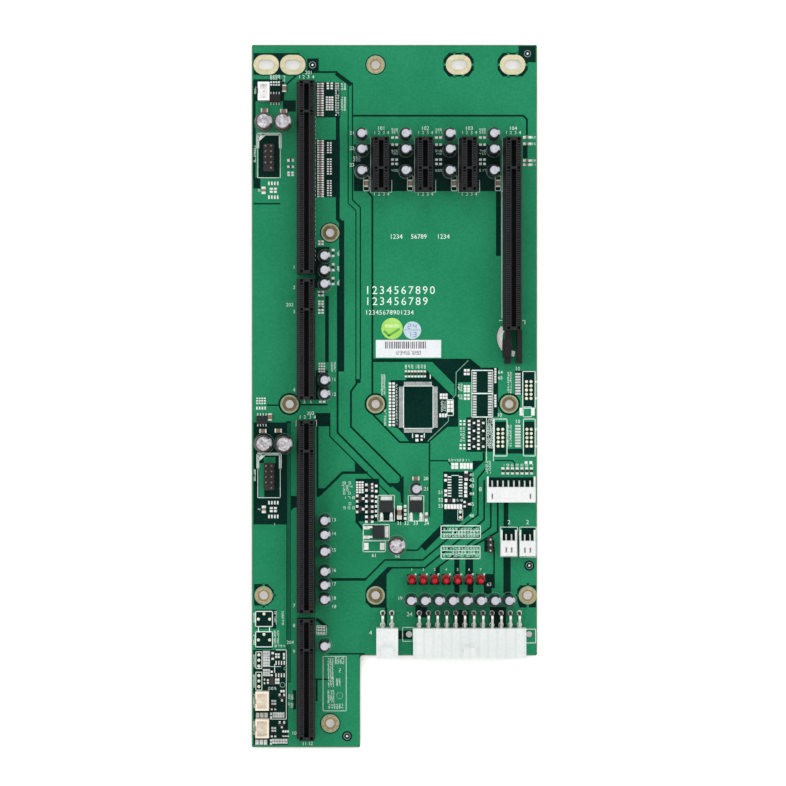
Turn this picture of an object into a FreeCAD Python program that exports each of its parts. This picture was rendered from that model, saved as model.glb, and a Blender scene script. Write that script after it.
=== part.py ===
"""Passive backplane: a long notched circuit board with card slots, power headers and small parts.

The origin is under the middle of the board, on the plane of the slot pegs' feet. +X runs across the
board, +Y along it towards the edge with the oblong holes, +Z up. Every length is in millimetres, and
heights inside a sub-part's own function are measured from the top face of the board.
"""
import FreeCAD, Part
import math
import os

V = FreeCAD.Vector
UP = V(0, 0, 1)

# Circuit board
BOARD_WIDTH = 132.0
BOARD_LENGTH = 325.0
BOARD_THICK = 1.6
BOARD_CORNER = 1.0
PEG_BELOW = 1.4
TAIL_BELOW = 1.0
BOARD_TOP = PEG_BELOW + BOARD_THICK
NOTCH_LEFT_X = -15.8
NOTCH_TOP_Y = -120.0

# Mounting holes
TOP_ROW_Y = 153.3
MIDDLE_ROW_Y = -3.7
LOWER_ROW_Y = -92.2
CENTRE_COLUMN_X = -8.7
SIDE_COLUMN_X = -29.7
ROUND_HOLE_R = 1.9
ROUND_HOLES = [
    (CENTRE_COLUMN_X, TOP_ROW_Y),
    (SIDE_COLUMN_X, 75.6),
    (-48.5, MIDDLE_ROW_Y),
    (CENTRE_COLUMN_X, MIDDLE_ROW_Y),
    (53.1, MIDDLE_ROW_Y),
    (-60.5, LOWER_ROW_Y),
    (CENTRE_COLUMN_X, LOWER_ROW_Y),
    (61.7, LOWER_ROW_Y),
    (SIDE_COLUMN_X, -151.4),
]
OBLONG_LENGTH = 7.0
OBLONG_WIDTH = 4.4
OBLONG_HOLES_X = [-59.3, -47.0, 29.7, 54.7]

# Holes beside the main power header, and the curved hole round the card latch
HEADER_SIDE_HOLE_R = 1.45
HEADER_SIDE_HOLES = [(6.8, -110.2), (62.4, -110.2)]
LATCH_HOLE_CENTRE = (56.2, 27.0)
LATCH_HOLE_R = 7.5
LATCH_HOLE_WIDTH = 2.6
LATCH_HOLE_FROM_DEG = 145.0
LATCH_HOLE_TO_DEG = 262.0

# Edge-card slots
HOST_SLOT_X = -40.4
HOST_SLOTS = {
    "host_slot_1_housing": (145.3, 89.0),
    "host_slot_2_housing": (54.2, 56.0),
    "host_slot_3_housing": (-11.0, 89.0),
    "host_slot_4_housing": (-102.4, 56.0),
}
CARD_SLOT_X = -6.1
CARD_SLOT_PITCH = 20.32
CARD_SLOT_TOP_Y = 119.3
CARD_SLOT_LENGTH = 25.0
CARD_SLOT_COUNT = 3
LONG_SLOT_LENGTH = 89.0
SLOT_HEIGHT = 11.25
SLOT_BASE_LEFT = -4.75
SLOT_BASE_RIGHT = 3.75
SLOT_TOP_HALF = 3.65
SLOT_STEP = 2.6
SLOT_BEVEL = 0.3
SLOT_FOOT = 0.4
SLOT_FOOT_LENGTH = 2.0
CARD_GAP_HALF = 0.95
CARD_MOUTH_HALF = 1.15
CARD_GAP_FLOOR = 3.2
CARD_LEAD_IN = 0.4
KEY_FROM_TOP = 14.3
KEY_WIDTH = 1.1
SLOT_END_WALL = 1.6
CHANNEL_INNER = 1.65
CHANNEL_OUTER = 3.0
CHANNEL_FLOOR = 4.2
CHANNEL_END = 2.2
CHANNEL_KEY_GAP = 1.1
POCKET_SIZE = 1.3
POCKET_DEPTH = 3.0
POCKET_FROM_END = 1.1
PEG_ACROSS = 2.3
PEG_HOLE_ACROSS = 2.4
PEG_SIDES = 6
PEG_FROM_END = 2.4

# Card latch at the end of the long slot
LATCH_LENGTH = 15.3
LATCH_RAIL_LEFT = (-4.0, -1.3)
LATCH_RAIL_RIGHT = (1.6, 3.9)
LATCH_RAIL_HEIGHT = 9.0
LATCH_HEAD_X = (-5.0, -1.0)
LATCH_HEAD_Y = (4.2, 12.4)
LATCH_HEAD_HEIGHT = 10.4
LATCH_BOSS = 1.3
LATCH_BOSS_HEIGHT = 0.7

# Right-angle power headers
POWER_PITCH = 4.2
POWER_EDGE = 2.9
POWER_HEIGHT = 9.8
POWER_BACK_Y = -106.9
POWER_FRONT_Y = -120.6
POWER_ROW_Z = (2.7, 6.9)
POWER_TAIL_Y = (-105.6, -100.1)
POWER_CELL = 3.5
POWER_CELL_CHAMFER = 0.9
POWER_CELL_DEPTH = 11.0
POWER_PIN = 1.07
POWER_PIN_SETBACK = 2.0
POWER_LATCH_SETBACK = 1.0
POWER_LATCH_WIDTH = 5.6
POWER_LATCH_DEPTH = 4.0
POWER_LATCH_HEIGHT = 1.5
MAIN_POWER_X = 34.65
MAIN_POWER_COLUMNS = 12
AUX_POWER_X = -3.3
AUX_POWER_COLUMNS = 2

# Right-angle wafers, whose mouths face -Y
WAFER_PITCH = 2.5
WAFER_EDGE = 2.45
WAFER_WALL = 0.8
WAFER_HEIGHT = 6.2
WAFER_BLOCK = 7.0
WAFER_EAR = 4.9
WAFER_EAR_HEIGHT = 4.6
WAFER_PIN_Z = 3.1
WAFER_PIN_SETBACK = 1.0
WAFER_TAIL_FROM_BLOCK = 2.6
WAFER_WINDOW = (0.7, 2.4)
WAFER_WINDOW_FROM_MOUTH = 2.8
PANEL_WAFER_PINS = 8
PANEL_WAFER_PLACE = (53.9, -49.0)
TWO_WAY_PINS = 2
LEFT_TWO_WAY_PLACE = (52.8, -73.7)
RIGHT_TWO_WAY_PLACE = (61.4, -73.8)

# Upright wafers at the left edge
UPRIGHT_HEIGHT = 7.0
UPRIGHT_WALL = 0.8
UPRIGHT_FLOOR = 4.4
UPRIGHT_PINS = 3
UPRIGHT_PIN_TOP = 6.0
UPRIGHT_KEY_WIDTH = 2.4
FAN_WAFER_SIZE = (6.2, 8.6)
FAN_WAFERS = {"fan_wafer_upper": (-61.0, -140.6), "fan_wafer_lower": (-61.0, -153.3)}
PANEL_UPRIGHT_SIZE = (5.3, 8.4)
PANEL_UPRIGHT_PLACE = (-60.3, 140.6)

# Pin headers
HEADER_PITCH = 2.54
HEADER_BASE = 2.5
HEADER_PIN = 0.64
HEADER_PIN_TOP = 8.6
HEADER_CORNER = 0.5
SWITCH_HEADER_ROWS = 5
SWITCH_HEADER_COLUMNS = 2
SWITCH_HEADER_MISSING_PIN = 8
SWITCH_HEADERS = {"upper_switch_header": (-58.1, 110.2), "lower_switch_header": (-57.9, -37.2)}
JUMPER_PLACE = (44.3, -68.6)
JUMPER_ROWS = 3

# Radial capacitors
SMALL_CAN_R = 2.7
SMALL_CAN_HEIGHT = 11.0
LARGE_CAN_R = 4.0
LARGE_CAN_HEIGHT = 11.5
CAN_SIDES = 12
CARD_CAN_OFFSET_X = -9.0
CARD_CANS_Y = [120.9, 113.7, 103.9]
HOST_CANS_X = -32.1
HOST_CANS_Y = [64.6, 58.0, 51.7, 7.4, 1.1, -57.3, -63.8, -71.5, -80.7, -87.0, -93.6, -115.0]
POWER_CANS_X = 7.7
POWER_CANS_PITCH = 6.45
POWER_CANS_Y = -94.1
POWER_CANS_COUNT = 8
REGULATOR_CAN = (10.1, -42.7)
LARGE_CANS = [(-60.1, 126.4), (-51.5, 126.3), (-60.3, -21.9), (-50.9, -22.1), (1.0, -68.9)]

# Indicator lamps
LAMP_X = 8.05
LAMP_PITCH = 5.3
LAMP_Y = -84.2
LAMP_COUNT = 7
LAMP_R = 1.5
LAMP_TIP = 0.8
LAMP_FLANGE_R = 1.9
LAMP_FLANGE_HEIGHT = 0.9
LAMP_SIDES = 8
LAMP_HEIGHT = 5.2
LAMP_LIFT = 1.6
LAMP_LEAN_DEG = 18.0
LAMP_LEAD = 0.5
LAMP_LEAD_SPREAD = 2.54

# Driver chips: places of the two eight-lead packages
CHIP_LENGTH = 4.9
CHIP_WIDTH = 3.9
CHIP_THICK = 1.45
CHIP_SPAN = 6.0
CHIP_LIFT = 0.15
CHIP_BEVEL = 0.4
CHIP_LEADS_A_SIDE = 4
CHIP_LEAD_PITCH = 1.27
CHIP_LEAD_WIDTH = 0.42
CHIP_LEAD_THICK = 0.2
CHIP_LEAD_FOOT = 0.6
CHIP_PLACES = [(-55.2, 137.7), (-61.3, -11.0)]

# Switching transistors: place and the turn of the tab from +Y
TRANSISTOR_BODY = (6.0, 5.7, 2.3)
TRANSISTOR_TAB = (5.2, 1.7, 0.5)
TRANSISTOR_LEAD_WIDTH = 0.9
TRANSISTOR_LEAD_SPREAD = 4.5
TRANSISTOR_LEAD_REACH = 2.9
TRANSISTORS = [((-3.7, -51.0), 0), ((10.0, -51.0), 0), ((-7.3, -62.8), -90)]

# Chip capacitors: place and whether the long side runs along Y
CHIP_CAP_SIZE = (3.2, 1.8, 1.3)
CHIP_CAPS_ALONG_X = [(-60.1, 132.1), (-51.2, 131.8), (-60.8, -16.1), (-53.7, -16.0), (9.9, -38.1)]
CHIP_CAPS_ALONG_Y = [(-50.9, 142.3), (-57.5, -9.7)]
CARD_CHIP_CAP_OFFSET = (13.4, -20.9)


def box(x_range, y_range, z_range):
    """Box between two limits on each axis, with z measured from the board's top face."""
    low = V(x_range[0], y_range[0], BOARD_TOP + z_range[0])
    size = (x_range[1] - x_range[0], y_range[1] - y_range[0], z_range[1] - z_range[0])
    return Part.makeBox(size[0], size[1], size[2], low)


def post(x, y, width, z_range):
    """Square post about (x, y)."""
    half = width / 2
    return box((x - half, x + half), (y - half, y + half), z_range)


def rod(x, y, radius, z_range):
    """Upright round rod."""
    return Part.makeCylinder(radius, z_range[1] - z_range[0], V(x, y, BOARD_TOP + z_range[0]), UP)


def prism(points, sweep):
    """Solid swept from a flat polygon of points along the vector sweep."""
    closed = Part.makePolygon(points + points[:1])
    return Part.Face(closed).extrude(sweep)


def ring(centre, radius, sides):
    """Points of an upright many-sided ring, with a flat facing +X."""
    turns = [2 * math.pi * (i + 0.5) / sides for i in range(sides)]
    return [centre + V(radius * math.cos(turn), radius * math.sin(turn), 0) for turn in turns]


def peg(x, y, across, z_range):
    """Locating peg, given by its width across the flats."""
    radius = across / 2 / math.cos(math.pi / PEG_SIDES)
    return prism(ring(V(x, y, BOARD_TOP + z_range[0]), radius, PEG_SIDES), V(0, 0, z_range[1] - z_range[0]))


def bar_along_y(section, x, y_range):
    """Bar along Y from a section of (x, z) points about the line at x."""
    points = [V(x + px, y_range[0], BOARD_TOP + pz) for px, pz in section]
    return prism(points, V(0, y_range[1] - y_range[0], 0))


def plate_along_x(profile, x, width):
    """Plate of the given width about x from a profile of (y, z) points."""
    points = [V(x - width / 2, py, BOARD_TOP + pz) for py, pz in profile]
    return prism(points, V(width, 0, 0))


def without(solid, cutters):
    """Solid with every cutter taken away."""
    return solid.cut(Part.makeCompound(cutters)).removeSplitter()


def save(name, shapes):
    """Write one node's solids to its file."""
    Part.makeCompound(shapes).exportStep(f"parts/{name}.step")


def slot_outline():
    """Section of a slot housing above its feet, with a wider ledge on the left of its base."""
    right = [
        (SLOT_TOP_HALF, SLOT_STEP + SLOT_BEVEL),
        (SLOT_TOP_HALF, SLOT_HEIGHT - SLOT_BEVEL),
        (SLOT_TOP_HALF - SLOT_BEVEL, SLOT_HEIGHT),
    ]
    left = [(-px, pz) for px, pz in reversed(right)]
    base_right = [(SLOT_BASE_RIGHT, SLOT_FOOT), (SLOT_BASE_RIGHT, SLOT_STEP)]
    base_left = [(SLOT_BASE_LEFT, SLOT_STEP), (SLOT_BASE_LEFT, SLOT_FOOT)]
    return base_right + right + left + base_left


def slot_runs(top_y, length, end_gap, key_gap):
    """The two stretches of a slot, above and below its key, as (low y, high y)."""
    key_y = top_y - KEY_FROM_TOP
    return [(key_y + key_gap, top_y - end_gap), (top_y - length + end_gap, key_y - key_gap)]


def slot_pegs(x, top_y, length):
    """Centres of a housing's two locating pegs, under its key and near its far end."""
    return [(x, top_y - KEY_FROM_TOP), (x, top_y - length + PEG_FROM_END)]


def slot_housing(x, top_y, length):
    """Edge-card slot: keyed card gap, two contact channels, end and key pockets, feet and pegs."""
    low_y = top_y - length
    body = bar_along_y(slot_outline(), x, (low_y, top_y))
    feet_x = (x + SLOT_BASE_LEFT, x + SLOT_BASE_RIGHT)
    feet = [
        box(feet_x, (top_y - SLOT_FOOT_LENGTH, top_y), (0, SLOT_FOOT)),
        box(feet_x, (low_y, low_y + SLOT_FOOT_LENGTH), (0, SLOT_FOOT)),
    ]
    pegs = [
        peg(px, py, PEG_ACROSS, (-BOARD_THICK - PEG_BELOW, SLOT_FOOT))
        for px, py in slot_pegs(x, top_y, length)
    ]
    gap = [
        (CARD_GAP_HALF, CARD_GAP_FLOOR),
        (CARD_GAP_HALF, SLOT_HEIGHT - CARD_LEAD_IN),
        (CARD_MOUTH_HALF, SLOT_HEIGHT),
        (-CARD_MOUTH_HALF, SLOT_HEIGHT),
        (-CARD_GAP_HALF, SLOT_HEIGHT - CARD_LEAD_IN),
        (-CARD_GAP_HALF, CARD_GAP_FLOOR),
    ]
    cutters = [
        bar_along_y(gap, x, run) for run in slot_runs(top_y, length, SLOT_END_WALL, KEY_WIDTH / 2)
    ]
    pocket_rows = [top_y - POCKET_FROM_END, top_y - KEY_FROM_TOP, low_y + POCKET_FROM_END]
    for side in (-1, 1):
        channel_x = sorted((x + side * CHANNEL_INNER, x + side * CHANNEL_OUTER))
        for run in slot_runs(top_y, length, CHANNEL_END, CHANNEL_KEY_GAP):
            cutters.append(box(channel_x, run, (CHANNEL_FLOOR, SLOT_HEIGHT)))
        pocket_x = x + side * (CHANNEL_INNER + CHANNEL_OUTER) / 2
        for pocket_y in pocket_rows:
            cutters.append(post(pocket_x, pocket_y, POCKET_SIZE, (SLOT_HEIGHT - POCKET_DEPTH, SLOT_HEIGHT)))
    return without(body.multiFuse(feet + pegs), cutters)


def card_latch(x, top_y):
    """Two rails past the long slot's end, the left one with the springy head that holds a card."""
    end_y = top_y - LATCH_LENGTH
    left = box((x + LATCH_RAIL_LEFT[0], x + LATCH_RAIL_LEFT[1]), (end_y, top_y), (0, LATCH_RAIL_HEIGHT))
    right = box((x + LATCH_RAIL_RIGHT[0], x + LATCH_RAIL_RIGHT[1]), (end_y, top_y), (0, LATCH_RAIL_HEIGHT))
    head_x = (x + LATCH_HEAD_X[0], x + LATCH_HEAD_X[1])
    head = box(head_x, (top_y - LATCH_HEAD_Y[1], top_y - LATCH_HEAD_Y[0]), (0, LATCH_HEAD_HEIGHT))
    boss_x = (head_x[0] + head_x[1]) / 2
    boss_y = top_y - (LATCH_HEAD_Y[0] + LATCH_HEAD_Y[1]) / 2
    boss = post(boss_x, boss_y, LATCH_BOSS, (LATCH_HEAD_HEIGHT, LATCH_HEAD_HEIGHT + LATCH_BOSS_HEIGHT))
    return [left, right, head, boss]


def card_slots():
    """Housings of the right-hand card slots, with the latch on the last, by node name."""
    slots = {}
    for index in range(CARD_SLOT_COUNT):
        x = CARD_SLOT_X + index * CARD_SLOT_PITCH
        slots[f"card_slot_{index + 1}_housing"] = slot_housing(x, CARD_SLOT_TOP_Y, CARD_SLOT_LENGTH)
    x = CARD_SLOT_X + CARD_SLOT_COUNT * CARD_SLOT_PITCH
    long_slot = slot_housing(x, CARD_SLOT_TOP_Y, LONG_SLOT_LENGTH)
    latch = card_latch(x, CARD_SLOT_TOP_Y - LONG_SLOT_LENGTH)
    slots["long_card_slot_housing"] = long_slot.multiFuse(latch).removeSplitter()
    return slots


def all_slot_pegs():
    """Centres of every slot peg."""
    pegs = []
    for top_y, length in HOST_SLOTS.values():
        pegs += slot_pegs(HOST_SLOT_X, top_y, length)
    for index in range(CARD_SLOT_COUNT + 1):
        x = CARD_SLOT_X + index * CARD_SLOT_PITCH
        length = LONG_SLOT_LENGTH if index == CARD_SLOT_COUNT else CARD_SLOT_LENGTH
        pegs += slot_pegs(x, CARD_SLOT_TOP_Y, length)
    return pegs


def bent_pin(x, width, tip_y, row_z, tail_y):
    """Square pin that runs back from its tip and turns down through the board."""
    half = width / 2
    profile = [
        (tip_y, row_z - half),
        (tip_y, row_z + half),
        (tail_y + half, row_z + half),
        (tail_y + half, -BOARD_THICK - TAIL_BELOW),
        (tail_y - half, -BOARD_THICK - TAIL_BELOW),
        (tail_y - half, row_z - half),
    ]
    return plate_along_x(profile, x, width)


def power_columns(centre_x, columns):
    """X of each column of a power header."""
    return [centre_x + (i - (columns - 1) / 2) * POWER_PITCH for i in range(columns)]


def power_pins(centre_x, columns):
    """Two rows of bent pins of a power header."""
    pins = []
    for x in power_columns(centre_x, columns):
        for row_z, tail_y in zip(POWER_ROW_Z, POWER_TAIL_Y):
            pins.append(bent_pin(x, POWER_PIN, POWER_FRONT_Y + POWER_PIN_SETBACK, row_z, tail_y))
    return pins


def power_cell(x, z, keyed):
    """Plug cell of a power header; a keyed cell has its two lower corners cut off."""
    half = POWER_CELL / 2
    cut = POWER_CELL_CHAMFER if keyed else 0
    low = [(-half, -half)] if not keyed else [(-half, -half + cut), (-half + cut, -half)]
    mirrored = [(-px, pz) for px, pz in reversed(low)]
    section = low + mirrored + [(half, half), (-half, half)]
    section = [(px, z + pz) for px, pz in section]
    return bar_along_y(section, x, (POWER_FRONT_Y, POWER_FRONT_Y + POWER_CELL_DEPTH))


def power_header(centre_x, columns, pins):
    """Right-angle power header: a block of keyed plug cells with a latch ramp on top."""
    half = (columns - 1) * POWER_PITCH / 2 + POWER_EDGE
    body = box((centre_x - half, centre_x + half), (POWER_FRONT_Y, POWER_BACK_Y), (0, POWER_HEIGHT))
    ramp_front = POWER_FRONT_Y + POWER_LATCH_SETBACK
    ramp_back = ramp_front + POWER_LATCH_DEPTH
    ramp = [
        (ramp_front, POWER_HEIGHT),
        (ramp_back, POWER_HEIGHT),
        (ramp_back, POWER_HEIGHT + POWER_LATCH_HEIGHT),
    ]
    body = body.fuse(plate_along_x(ramp, centre_x, POWER_LATCH_WIDTH))
    cells = []
    for i, x in enumerate(power_columns(centre_x, columns)):
        for row, z in enumerate(POWER_ROW_Z):
            cells.append(power_cell(x, z, (i + row) % 2 == 0))
    return without(body, cells + pins)


def wafer_columns(centre_x, count):
    """X of each pin of a right-angle wafer."""
    return [centre_x + (i - (count - 1) / 2) * WAFER_PITCH for i in range(count)]


def wafer_pins(place, count):
    """Bent pins of a right-angle wafer."""
    centre_x, mouth_y = place
    tail_y = mouth_y + WAFER_BLOCK + WAFER_TAIL_FROM_BLOCK
    tip_y = mouth_y + WAFER_PIN_SETBACK
    return [bent_pin(x, HEADER_PIN, tip_y, WAFER_PIN_Z, tail_y) for x in wafer_columns(centre_x, count)]


def wafer_housing(place, count, pins):
    """Right-angle wafer: hollow block open at -Y, lock windows on top and two ears behind it."""
    centre_x, mouth_y = place
    half = (count - 1) * WAFER_PITCH / 2 + WAFER_EDGE
    back_y = mouth_y + WAFER_BLOCK
    block = box((centre_x - half, centre_x + half), (mouth_y, back_y), (0, WAFER_HEIGHT))
    ears = []
    for side in (-1, 1):
        ear_x = sorted((centre_x + side * half, centre_x + side * (half - WAFER_WALL)))
        ears.append(box(ear_x, (back_y, back_y + WAFER_EAR), (0, WAFER_EAR_HEIGHT)))
    inner = half - WAFER_WALL
    hollow_z = (WAFER_WALL, WAFER_HEIGHT - WAFER_WALL)
    cutters = [box((centre_x - inner, centre_x + inner), (mouth_y, back_y - WAFER_WALL), hollow_z)]
    window_offset = half - WAFER_EDGE
    window_mid = mouth_y + WAFER_WINDOW_FROM_MOUTH
    for side in (-1, 1):
        window_x = centre_x + side * window_offset
        window_x_range = (window_x - WAFER_WINDOW[0] / 2, window_x + WAFER_WINDOW[0] / 2)
        window_y_range = (window_mid - WAFER_WINDOW[1] / 2, window_mid + WAFER_WINDOW[1] / 2)
        cutters.append(box(window_x_range, window_y_range, (hollow_z[1], WAFER_HEIGHT)))
    return without(block.multiFuse(ears), cutters + pins)


def upright_pins(place):
    """Straight pins of an upright wafer, in a row along Y."""
    x, y = place
    z_range = (-BOARD_THICK - TAIL_BELOW, UPRIGHT_PIN_TOP)
    offsets = [(i - (UPRIGHT_PINS - 1) / 2) * HEADER_PITCH for i in range(UPRIGHT_PINS)]
    return [post(x, y + offset, HEADER_PIN, z_range) for offset in offsets]


def upright_housing(place, size, pins):
    """Upright wafer: open-topped box round its pins with a key gap in the wall at the board's edge."""
    x, y = place
    half_x = size[0] / 2
    half_y = size[1] / 2
    shell = box((x - half_x, x + half_x), (y - half_y, y + half_y), (0, UPRIGHT_HEIGHT))
    hollow = box(
        (x - half_x + UPRIGHT_WALL, x + half_x - UPRIGHT_WALL),
        (y - half_y + UPRIGHT_WALL, y + half_y - UPRIGHT_WALL),
        (UPRIGHT_FLOOR, UPRIGHT_HEIGHT),
    )
    key_y = (y - UPRIGHT_KEY_WIDTH / 2, y + UPRIGHT_KEY_WIDTH / 2)
    key = box((x - half_x, x - half_x + UPRIGHT_WALL), key_y, (UPRIGHT_HEIGHT / 2, UPRIGHT_HEIGHT))
    return without(shell, [hollow, key] + pins)


def header_places(place, rows, columns):
    """Pin centres of an upright pin header, row by row from the top."""
    x, y = place
    places = []
    for row in range(rows):
        for column in range(columns):
            px = x + (column - (columns - 1) / 2) * HEADER_PITCH
            py = y + ((rows - 1) / 2 - row) * HEADER_PITCH
            places.append((px, py))
    return places


def header_pins(places):
    """Square pins of an upright pin header."""
    z_range = (-BOARD_THICK - TAIL_BELOW, HEADER_PIN_TOP)
    return [post(px, py, HEADER_PIN, z_range) for px, py in places]


def header_base(place, rows, columns, pins):
    """Moulded base of a pin header, with the corners of every row cut back."""
    x, y = place
    half_x = columns * HEADER_PITCH / 2
    edge = []
    for row in range(rows):
        top = y + (rows / 2 - row) * HEADER_PITCH
        edge += [
            (half_x - HEADER_CORNER, top),
            (half_x, top - HEADER_CORNER),
            (half_x, top - HEADER_PITCH + HEADER_CORNER),
        ]
    edge.append((half_x - HEADER_CORNER, y - rows * HEADER_PITCH / 2))
    outline = edge + [(-px, py) for px, py in reversed(edge)]
    points = [V(x + px, py, BOARD_TOP) for px, py in outline]
    return without(prism(points, V(0, 0, HEADER_BASE)), pins)


def capacitor(x, y, radius, height):
    """Radial capacitor can standing on the board, many-sided enough to be round to about 0.1 mm."""
    return prism(ring(V(x, y, BOARD_TOP), radius, CAN_SIDES), V(0, 0, height))


def card_slot_capacitors():
    """Three small cans on the left of every right-hand slot."""
    cans = []
    for index in range(CARD_SLOT_COUNT + 1):
        x = CARD_SLOT_X + index * CARD_SLOT_PITCH + CARD_CAN_OFFSET_X
        cans += [capacitor(x, y, SMALL_CAN_R, SMALL_CAN_HEIGHT) for y in CARD_CANS_Y]
    return cans


def power_capacitors():
    """Row of small cans above the main power header, and the one at the regulator."""
    places = [(POWER_CANS_X + i * POWER_CANS_PITCH, POWER_CANS_Y) for i in range(POWER_CANS_COUNT)]
    places.append(REGULATOR_CAN)
    return [capacitor(x, y, SMALL_CAN_R, SMALL_CAN_HEIGHT) for x, y in places]


def lamp_places():
    """Centres of the indicator lamps."""
    return [(LAMP_X + i * LAMP_PITCH, LAMP_Y) for i in range(LAMP_COUNT)]


def lamp_lens(x, y):
    """Lamp with a narrowed tip and a flanged foot, leaning towards the power headers."""
    lens = prism(ring(V(0, 0, 0), LAMP_R, LAMP_SIDES), V(0, 0, LAMP_HEIGHT))
    tip_edges = [edge for edge in lens.Edges if edge.BoundBox.ZMin > LAMP_HEIGHT / 2]
    lens = lens.makeChamfer(LAMP_TIP, tip_edges)
    flange = prism(ring(V(0, 0, 0), LAMP_FLANGE_R, LAMP_SIDES), V(0, 0, LAMP_FLANGE_HEIGHT))
    lens = lens.fuse(flange).removeSplitter()
    lens.rotate(V(0, 0, 0), V(1, 0, 0), LAMP_LEAN_DEG)
    lens.translate(V(x, y, BOARD_TOP + LAMP_LIFT))
    return lens


def lamp_leads(x, y):
    """Two straight leads from the board up into a lamp's foot."""
    z_range = (0, LAMP_LIFT)
    return [post(x + side * LAMP_LEAD_SPREAD / 2, y, LAMP_LEAD, z_range) for side in (-1, 1)]


def chip_body(x, y):
    """Eight-lead package body, narrowed towards its top and bottom faces."""
    half = CHIP_WIDTH / 2
    slope = CHIP_BEVEL / 2
    middle = CHIP_LIFT + CHIP_THICK / 2
    top = CHIP_LIFT + CHIP_THICK
    profile = [
        (y - half + slope, CHIP_LIFT),
        (y - half, middle),
        (y - half + slope, top),
        (y + half - slope, top),
        (y + half, middle),
        (y + half - slope, CHIP_LIFT),
    ]
    return plate_along_x(profile, x, CHIP_LENGTH)


def gull_lead(x, y, side, inner, outer, height, width, thick):
    """Flat lead that leaves a package at a height, drops and ends in a foot on the board."""
    knee = outer - CHIP_LEAD_FOOT
    profile = [
        (inner, height),
        (inner, height + thick),
        (knee, height + thick),
        (knee + thick, thick),
        (outer, thick),
        (outer, 0),
        (knee, 0),
        (knee - thick, height),
    ]
    profile = [(y + side * py, pz) for py, pz in profile]
    return plate_along_x(profile, x, width)


def chip_leads(x, y):
    """Four leads on each long side of a package."""
    leads = []
    height = CHIP_LIFT + CHIP_THICK / 2 - CHIP_LEAD_THICK / 2
    for side in (-1, 1):
        for i in range(CHIP_LEADS_A_SIDE):
            lead_x = x + (i - (CHIP_LEADS_A_SIDE - 1) / 2) * CHIP_LEAD_PITCH
            sizes = (CHIP_WIDTH / 2, CHIP_SPAN / 2, height, CHIP_LEAD_WIDTH, CHIP_LEAD_THICK)
            leads.append(gull_lead(lead_x, y, side, *sizes))
    return leads


def turn_about(shapes, place, angle):
    """Shapes turned about the upright line at place."""
    x, y = place
    for shape in shapes:
        shape.rotate(V(x, y, 0), UP, angle)
    return shapes


def transistor_body(place, angle):
    """Moulded transistor body with its front edge bevelled."""
    x, y = place
    half_x = TRANSISTOR_BODY[0] / 2
    half_y = TRANSISTOR_BODY[1] / 2
    tab = TRANSISTOR_TAB[2]
    bevel = CHIP_BEVEL
    profile = [
        (y - half_y, tab),
        (y - half_y + bevel, TRANSISTOR_BODY[2]),
        (y + half_y - bevel, TRANSISTOR_BODY[2]),
        (y + half_y, tab),
    ]
    return turn_about([plate_along_x(profile, x, 2 * half_x)], place, angle)


def transistor_metal(place, angle):
    """Tab plate under a transistor's body, and its two leads."""
    x, y = place
    half_y = TRANSISTOR_BODY[1] / 2
    tab_half = TRANSISTOR_TAB[0] / 2
    tab_y = (y - half_y + CHIP_LEAD_FOOT, y + half_y + TRANSISTOR_TAB[1])
    metal = [box((x - tab_half, x + tab_half), tab_y, (0, TRANSISTOR_TAB[2]))]
    for side in (-1, 1):
        lead_x = x + side * TRANSISTOR_LEAD_SPREAD / 2
        sizes = (half_y, half_y + TRANSISTOR_LEAD_REACH, TRANSISTOR_BODY[2] / 2)
        metal.append(gull_lead(lead_x, y, -1, *sizes, TRANSISTOR_LEAD_WIDTH, TRANSISTOR_TAB[2]))
    return turn_about(metal, place, angle)


def chip_capacitors():
    """Brown block capacitors: two rows of single ones, and one at every right-hand slot."""
    length, width, height = CHIP_CAP_SIZE
    along_y = list(CHIP_CAPS_ALONG_Y)
    for index in range(CARD_SLOT_COUNT + 1):
        x = CARD_SLOT_X + (index - 1) * CARD_SLOT_PITCH + CARD_CHIP_CAP_OFFSET[0]
        along_y.append((x, CARD_SLOT_TOP_Y + CARD_CHIP_CAP_OFFSET[1]))
    blocks = []
    for x, y in CHIP_CAPS_ALONG_X:
        blocks.append(box((x - length / 2, x + length / 2), (y - width / 2, y + width / 2), (0, height)))
    for x, y in along_y:
        blocks.append(box((x - width / 2, x + width / 2), (y - length / 2, y + length / 2), (0, height)))
    return blocks


def oblong_cutter(x, y):
    """Cutter of an oblong hole that runs along X."""
    radius = OBLONG_WIDTH / 2
    run = OBLONG_LENGTH / 2 - radius
    z_range = (-BOARD_THICK, 0)
    middle = box((x - run, x + run), (y - radius, y + radius), z_range)
    ends = [rod(x + side * run, y, radius, z_range) for side in (-1, 1)]
    return middle.multiFuse(ends).removeSplitter()


def latch_cutter():
    """Cutter of the curved hole beside the card latch."""
    x, y = LATCH_HOLE_CENTRE
    base = V(x, y, BOARD_TOP - BOARD_THICK)
    sweep = LATCH_HOLE_TO_DEG - LATCH_HOLE_FROM_DEG
    outer = Part.makeCylinder(LATCH_HOLE_R + LATCH_HOLE_WIDTH / 2, BOARD_THICK, base, UP, sweep)
    inner = Part.makeCylinder(LATCH_HOLE_R - LATCH_HOLE_WIDTH / 2, BOARD_THICK, base, UP, sweep)
    arc = outer.cut(inner)
    arc.rotate(V(x, y, 0), UP, LATCH_HOLE_FROM_DEG)
    ends = []
    for angle in (LATCH_HOLE_FROM_DEG, LATCH_HOLE_TO_DEG):
        turn = math.radians(angle)
        end_x = x + LATCH_HOLE_R * math.cos(turn)
        end_y = y + LATCH_HOLE_R * math.sin(turn)
        ends.append(rod(end_x, end_y, LATCH_HOLE_WIDTH / 2, (-BOARD_THICK, 0)))
    return arc.multiFuse(ends).removeSplitter()


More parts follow.
